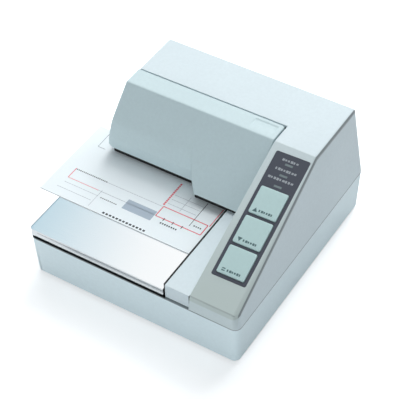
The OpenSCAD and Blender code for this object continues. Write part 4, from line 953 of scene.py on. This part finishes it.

# %% [markdown]
# ## The printed form
# A slip form is printed in red and black before it comes to the machine: ruled boxes, dotted lines and
# a grey field. Every rule is a closed bar a few hundredths of a millimetre high, placed in
# millimetres from the slip's left and front edge, and it moves with the slip. One black bar along the
# front edge is no print but a painted shadow of the paper's edge.

# %% Rules of the form
def dotted(x0, y0, x1, y1, width, pitch, fill=0.6):
    """A line cut into dashes: dash k starts at k times the pitch and is fill times the pitch long."""
    a, b = np.array([x0, y0]), np.array([x1, y1])
    length = np.linalg.norm(b - a)
    way = (b - a) / length
    start = a + way * np.arange(0, length - pitch * fill, pitch)[:, None]
    return np.column_stack([start, start + way * pitch * fill, np.full(len(start), width)]).tolist()


RED = [(12, 20.6, 12, 32, 0.6), (12, 20.6, 40, 20.6, 0.45), (92, 20.5, 131, 20.5, 0.8),
       (92, 31.5, 131, 31.5, 0.8), (92, 20.5, 92, 31.5, 0.8), (131, 20.5, 131, 31.5, 0.8),
       (132.5, 31, 132.5, 51.5, 0.7)] + dotted(91, 33, 91, 60, 1.5, 2.0, 0.8)
GREY = [(40, 20.6, 92, 20.6, 0.35), (41, 31, 91, 31, 0.3), (12, 15.5, 43, 15.5, 0.3), (10, 9, 41, 9, 0.3),
        (42.8, 3.4, 42.8, 22, 0.3), (93, 36, 118, 36, 0.3), (93, 41, 118, 41, 0.3), (93, 46, 118, 46, 0.3),
        (12.2, 60.5, 11.9, 79, 0.5), (12.2, 60.5, 19, 60.5, 0.5), (105, 33, 105, 50, 0.3)]
BLACK_AND_EDGE_SHADOW = [(119, 24, 119, 51, 0.5)]
BLACK_AND_EDGE_SHADOW += [(x, 18.6, x, 21.6, 0.7) for x in (99.4, 107.3, 115.2)]
BLACK_AND_EDGE_SHADOW += dotted(12.8, 31.2, 41, 31.2, 1.1, 1.6) + dotted(45.8, 15, 61.3, 15, 0.9, 1.7)
BLACK_AND_EDGE_SHADOW += dotted(98.7, 16, 115, 16, 1.5, 1.9) + dotted(121.8, 26, 129.4, 26, 1.3, 1.8)
# The last bar, along the slip's front edge, is a painted shadow of the paper's edge, not print.
BLACK_AND_EDGE_SHADOW += dotted(56, 2.9, 96, 2.9, 1.7, 3.0, 0.62) + [(0.3, 0.25, 135.2, 0.25, 0.3)]
print(len(RED) + len(GREY) + len(BLACK_AND_EDGE_SHADOW), "rules on the form")

# %% Ink on the slip
INK_LOW, INK_TOP = -0.01, 0.02
SHEET = Matrix.Translation((slip_low[0], slip_low[1], slip_high[2]))
make("form_red", [placed(bars(RED, INK_LOW, INK_TOP), SHEET)], "slip", "red_ink")
make("form_grey", [placed(bars(GREY, INK_LOW, INK_TOP), SHEET)], "slip", "grey_ink")
# Black print, and the painted shadow along the slip's front edge.
make("form_black_and_shadow", [placed(bars(BLACK_AND_EDGE_SHADOW, INK_LOW, INK_TOP + 0.005), SHEET)], "slip", "black_ink_and_shadow")
field = pad(25.5, 10.5, 0.4, INK_LOW, INK_TOP, edge=0.01)
make("form_field", [placed(field, SHEET @ Matrix.Translation((78.3, 19.2, 0)))], "slip", "field_ink")
print("four inks on the slip")

# %% [markdown]
# ## Feet
# Four rubber feet are pressed into round pockets. Each is turned about its own axis, with a rounded rim
# and a shallow hollow below, so that it grips a damp counter.

# %% Feet
FOOT_R = 7
FOOT = [(0, 0.6), (2.6, 0.6), (2.9, 0.0), (5.8, 0.0), (6.6, 0.25), (6.98, 0.9), (6.98, 3.45), (0, 3.45)]
feet_low, feet_high = span("rubber_feet")
places = [(x, y, 0) for x in (feet_low[0] + FOOT_R, feet_high[0] - FOOT_R)
          for y in (feet_low[1] + FOOT_R, feet_high[1] - FOOT_R)]
make("feet", [turned(FOOT, p, (0, 0, 1), 48) for p in places], "case", "rubber", ["rubber_feet"])
print(len(places), "feet")

# %% [markdown]
# ## The floor
# Pale products are shot on a white sweep. One large square under the feet stands for it. White card
# looks grey beside the object, so camera rays also see it glow a little. The light it throws back
# stays that of card.

# %% Floor
WHITE = (1.0, 1.0, 1.0, 1.0)
HALF_M, GLOW = 6.0, 0.5
mesh = bpy.data.meshes.new("floor")
mesh.from_pydata([(x * HALF_M, y * HALF_M, 0.0) for x, y in ((-1, -1), (1, -1), (1, 1), (-1, 1))], [],
                 [(0, 1, 2, 3)])
floor = bpy.data.objects.new("floor", mesh)
bpy.context.scene.collection.objects.link(floor)
f = Finish("floor_white")
f.put(Base_Color=(0.80, 0.81, 0.82, 1.0), Roughness=0.9)
both = f.add("ShaderNodeAddShader")
f.feed(both.inputs[0], f.shader.outputs[0])
f.feed(both.inputs[1], f.add("ShaderNodeEmission", Color=WHITE, Strength=GLOW).outputs[0])
seen = f.either(f.add("ShaderNodeLightPath").outputs["Is Camera Ray"], f.shader, both)
f.feed(f.tree.nodes["Material Output"].inputs["Surface"], seen.outputs[0])
mesh.materials.append(f.material)
print("floor laid,", 2 * HALF_M, "m wide")

# %% [markdown]
# ## The tent
# The room is a white tent, and the world stands for its cloth. It gives a faint even light of its own.
# Polished steel shows the cloth directly, so glossy rays see it as it looks: white, but bluer and
# darker towards one side, which gives the table its slow change of tone. The camera sees plain white.

# %% World
TENT_LIGHT, TENT_SHADE = (0.90, 0.960, 1.0, 1.0), (0.50, 0.68, 0.77, 1.0)
TENT_STRENGTH, SHADE_FROM, SHADE_TO = 0.26, -0.472, -0.405
world = bpy.data.worlds.new("white_tent")
bpy.context.scene.world = world
world.use_nodes = True
world.node_tree.nodes.clear()
sky = Nodes(world.node_tree)
way_x = sky.add("ShaderNodeSeparateXYZ", Vector=sky.add("ShaderNodeTexCoord").outputs["Object"]).outputs["X"]
cloth = sky.mixed(sky.between(way_x, SHADE_FROM, SHADE_TO, 0.0, 1.0), TENT_SHADE, WHITE)
dim = sky.add("ShaderNodeBackground", Color=TENT_LIGHT, Strength=TENT_STRENGTH)
mirrored = sky.add("ShaderNodeBackground", Color=cloth, Strength=1.0)
bright = sky.add("ShaderNodeBackground", Color=WHITE, Strength=1.0)
path = sky.add("ShaderNodeLightPath").outputs
shine = sky.either(path["Is Glossy Ray"], dim, mirrored)
chosen = sky.either(path["Is Camera Ray"], shine, bright)
sky.add("ShaderNodeOutputWorld", Surface=chosen.outputs[0])
print("tent light of strength", TENT_STRENGTH)

# %% [markdown]
# ## The lamps
# Four square soft boxes: two above and behind light the flat tops, a low one from the front left opens
# the near side, and a weaker, cooler one lights the right side. Glossy rays don't see them, or the
# table would mirror hard squares.

# %% Lamps
BOX_M, AIM = 1.3, Vector((0.0, 0.0, 0.05))


def lamp(name, place, power, colour=(1.0, 1.0, 1.0)):
    """A square soft box at a place in metres that looks at the object."""
    light = bpy.data.lights.new(name, "AREA")
    light.size, light.energy, light.color = BOX_M, power, colour
    box = bpy.data.objects.new(name, light)
    bpy.context.scene.collection.objects.link(box)
    box.visible_glossy = False
    way = AIM - Vector(place)
    box.matrix_world = Matrix.Translation(place) @ way.to_track_quat("-Z", "Y").to_matrix().to_4x4()


lamp("top_box", (-0.55, 0.95, 1.55), 15.0, (0.98, 0.992, 1.0))
lamp("rear_box", (-0.04, 1.45, 1.30), 27.0, (0.98, 0.992, 1.0))
lamp("front_box", (-0.6, -1.7, 0.15), 10.0)
lamp("side_box", (0.9, -1.5, 0.50), 6.5, (0.79, 0.93, 1.0))
print("four lamps")

# %% [markdown]
# ## The camera
# A long lens from above and to the right shows table, panel and cover with little perspective. Its
# direction is three angles, and the matrix is built from their unit vectors, since aiming at a point
# would leave the roll open.

# %% Camera
AZIMUTH, ELEVATION, ROLL = (math.radians(a) for a in (32.921, 45.337, -1.539))
EYE, LENS_MM, SENSOR_MM = Vector((0.414553, -0.626074, 0.795259)), 126.0, 36.0
ahead = Vector((-math.sin(AZIMUTH) * math.cos(ELEVATION), math.cos(AZIMUTH) * math.cos(ELEVATION),
                -math.sin(ELEVATION)))
level = ahead.cross(Vector((0, 0, 1))).normalized()
above = level.cross(ahead)
right = level * math.cos(ROLL) + above * math.sin(ROLL)
upward = above * math.cos(ROLL) - level * math.sin(ROLL)
lens = bpy.data.cameras.new("view")
lens.lens, lens.sensor_width, lens.sensor_fit, lens.clip_start = LENS_MM, SENSOR_MM, "HORIZONTAL", 0.01
camera = bpy.data.objects.new("view", lens)
bpy.context.scene.collection.objects.link(camera)
camera.matrix_world = Matrix.Translation(EYE) @ Matrix((right, upward, -ahead)).transposed().to_4x4()
bpy.context.scene.camera = camera
bpy.context.scene.view_settings.view_transform = "Standard"
print("camera", round(EYE.length, 2), "m from the origin")

# %% [markdown]
# ## End
# The dressed object has to stay in the box of the solids.

# %% End of the script
print("script done")
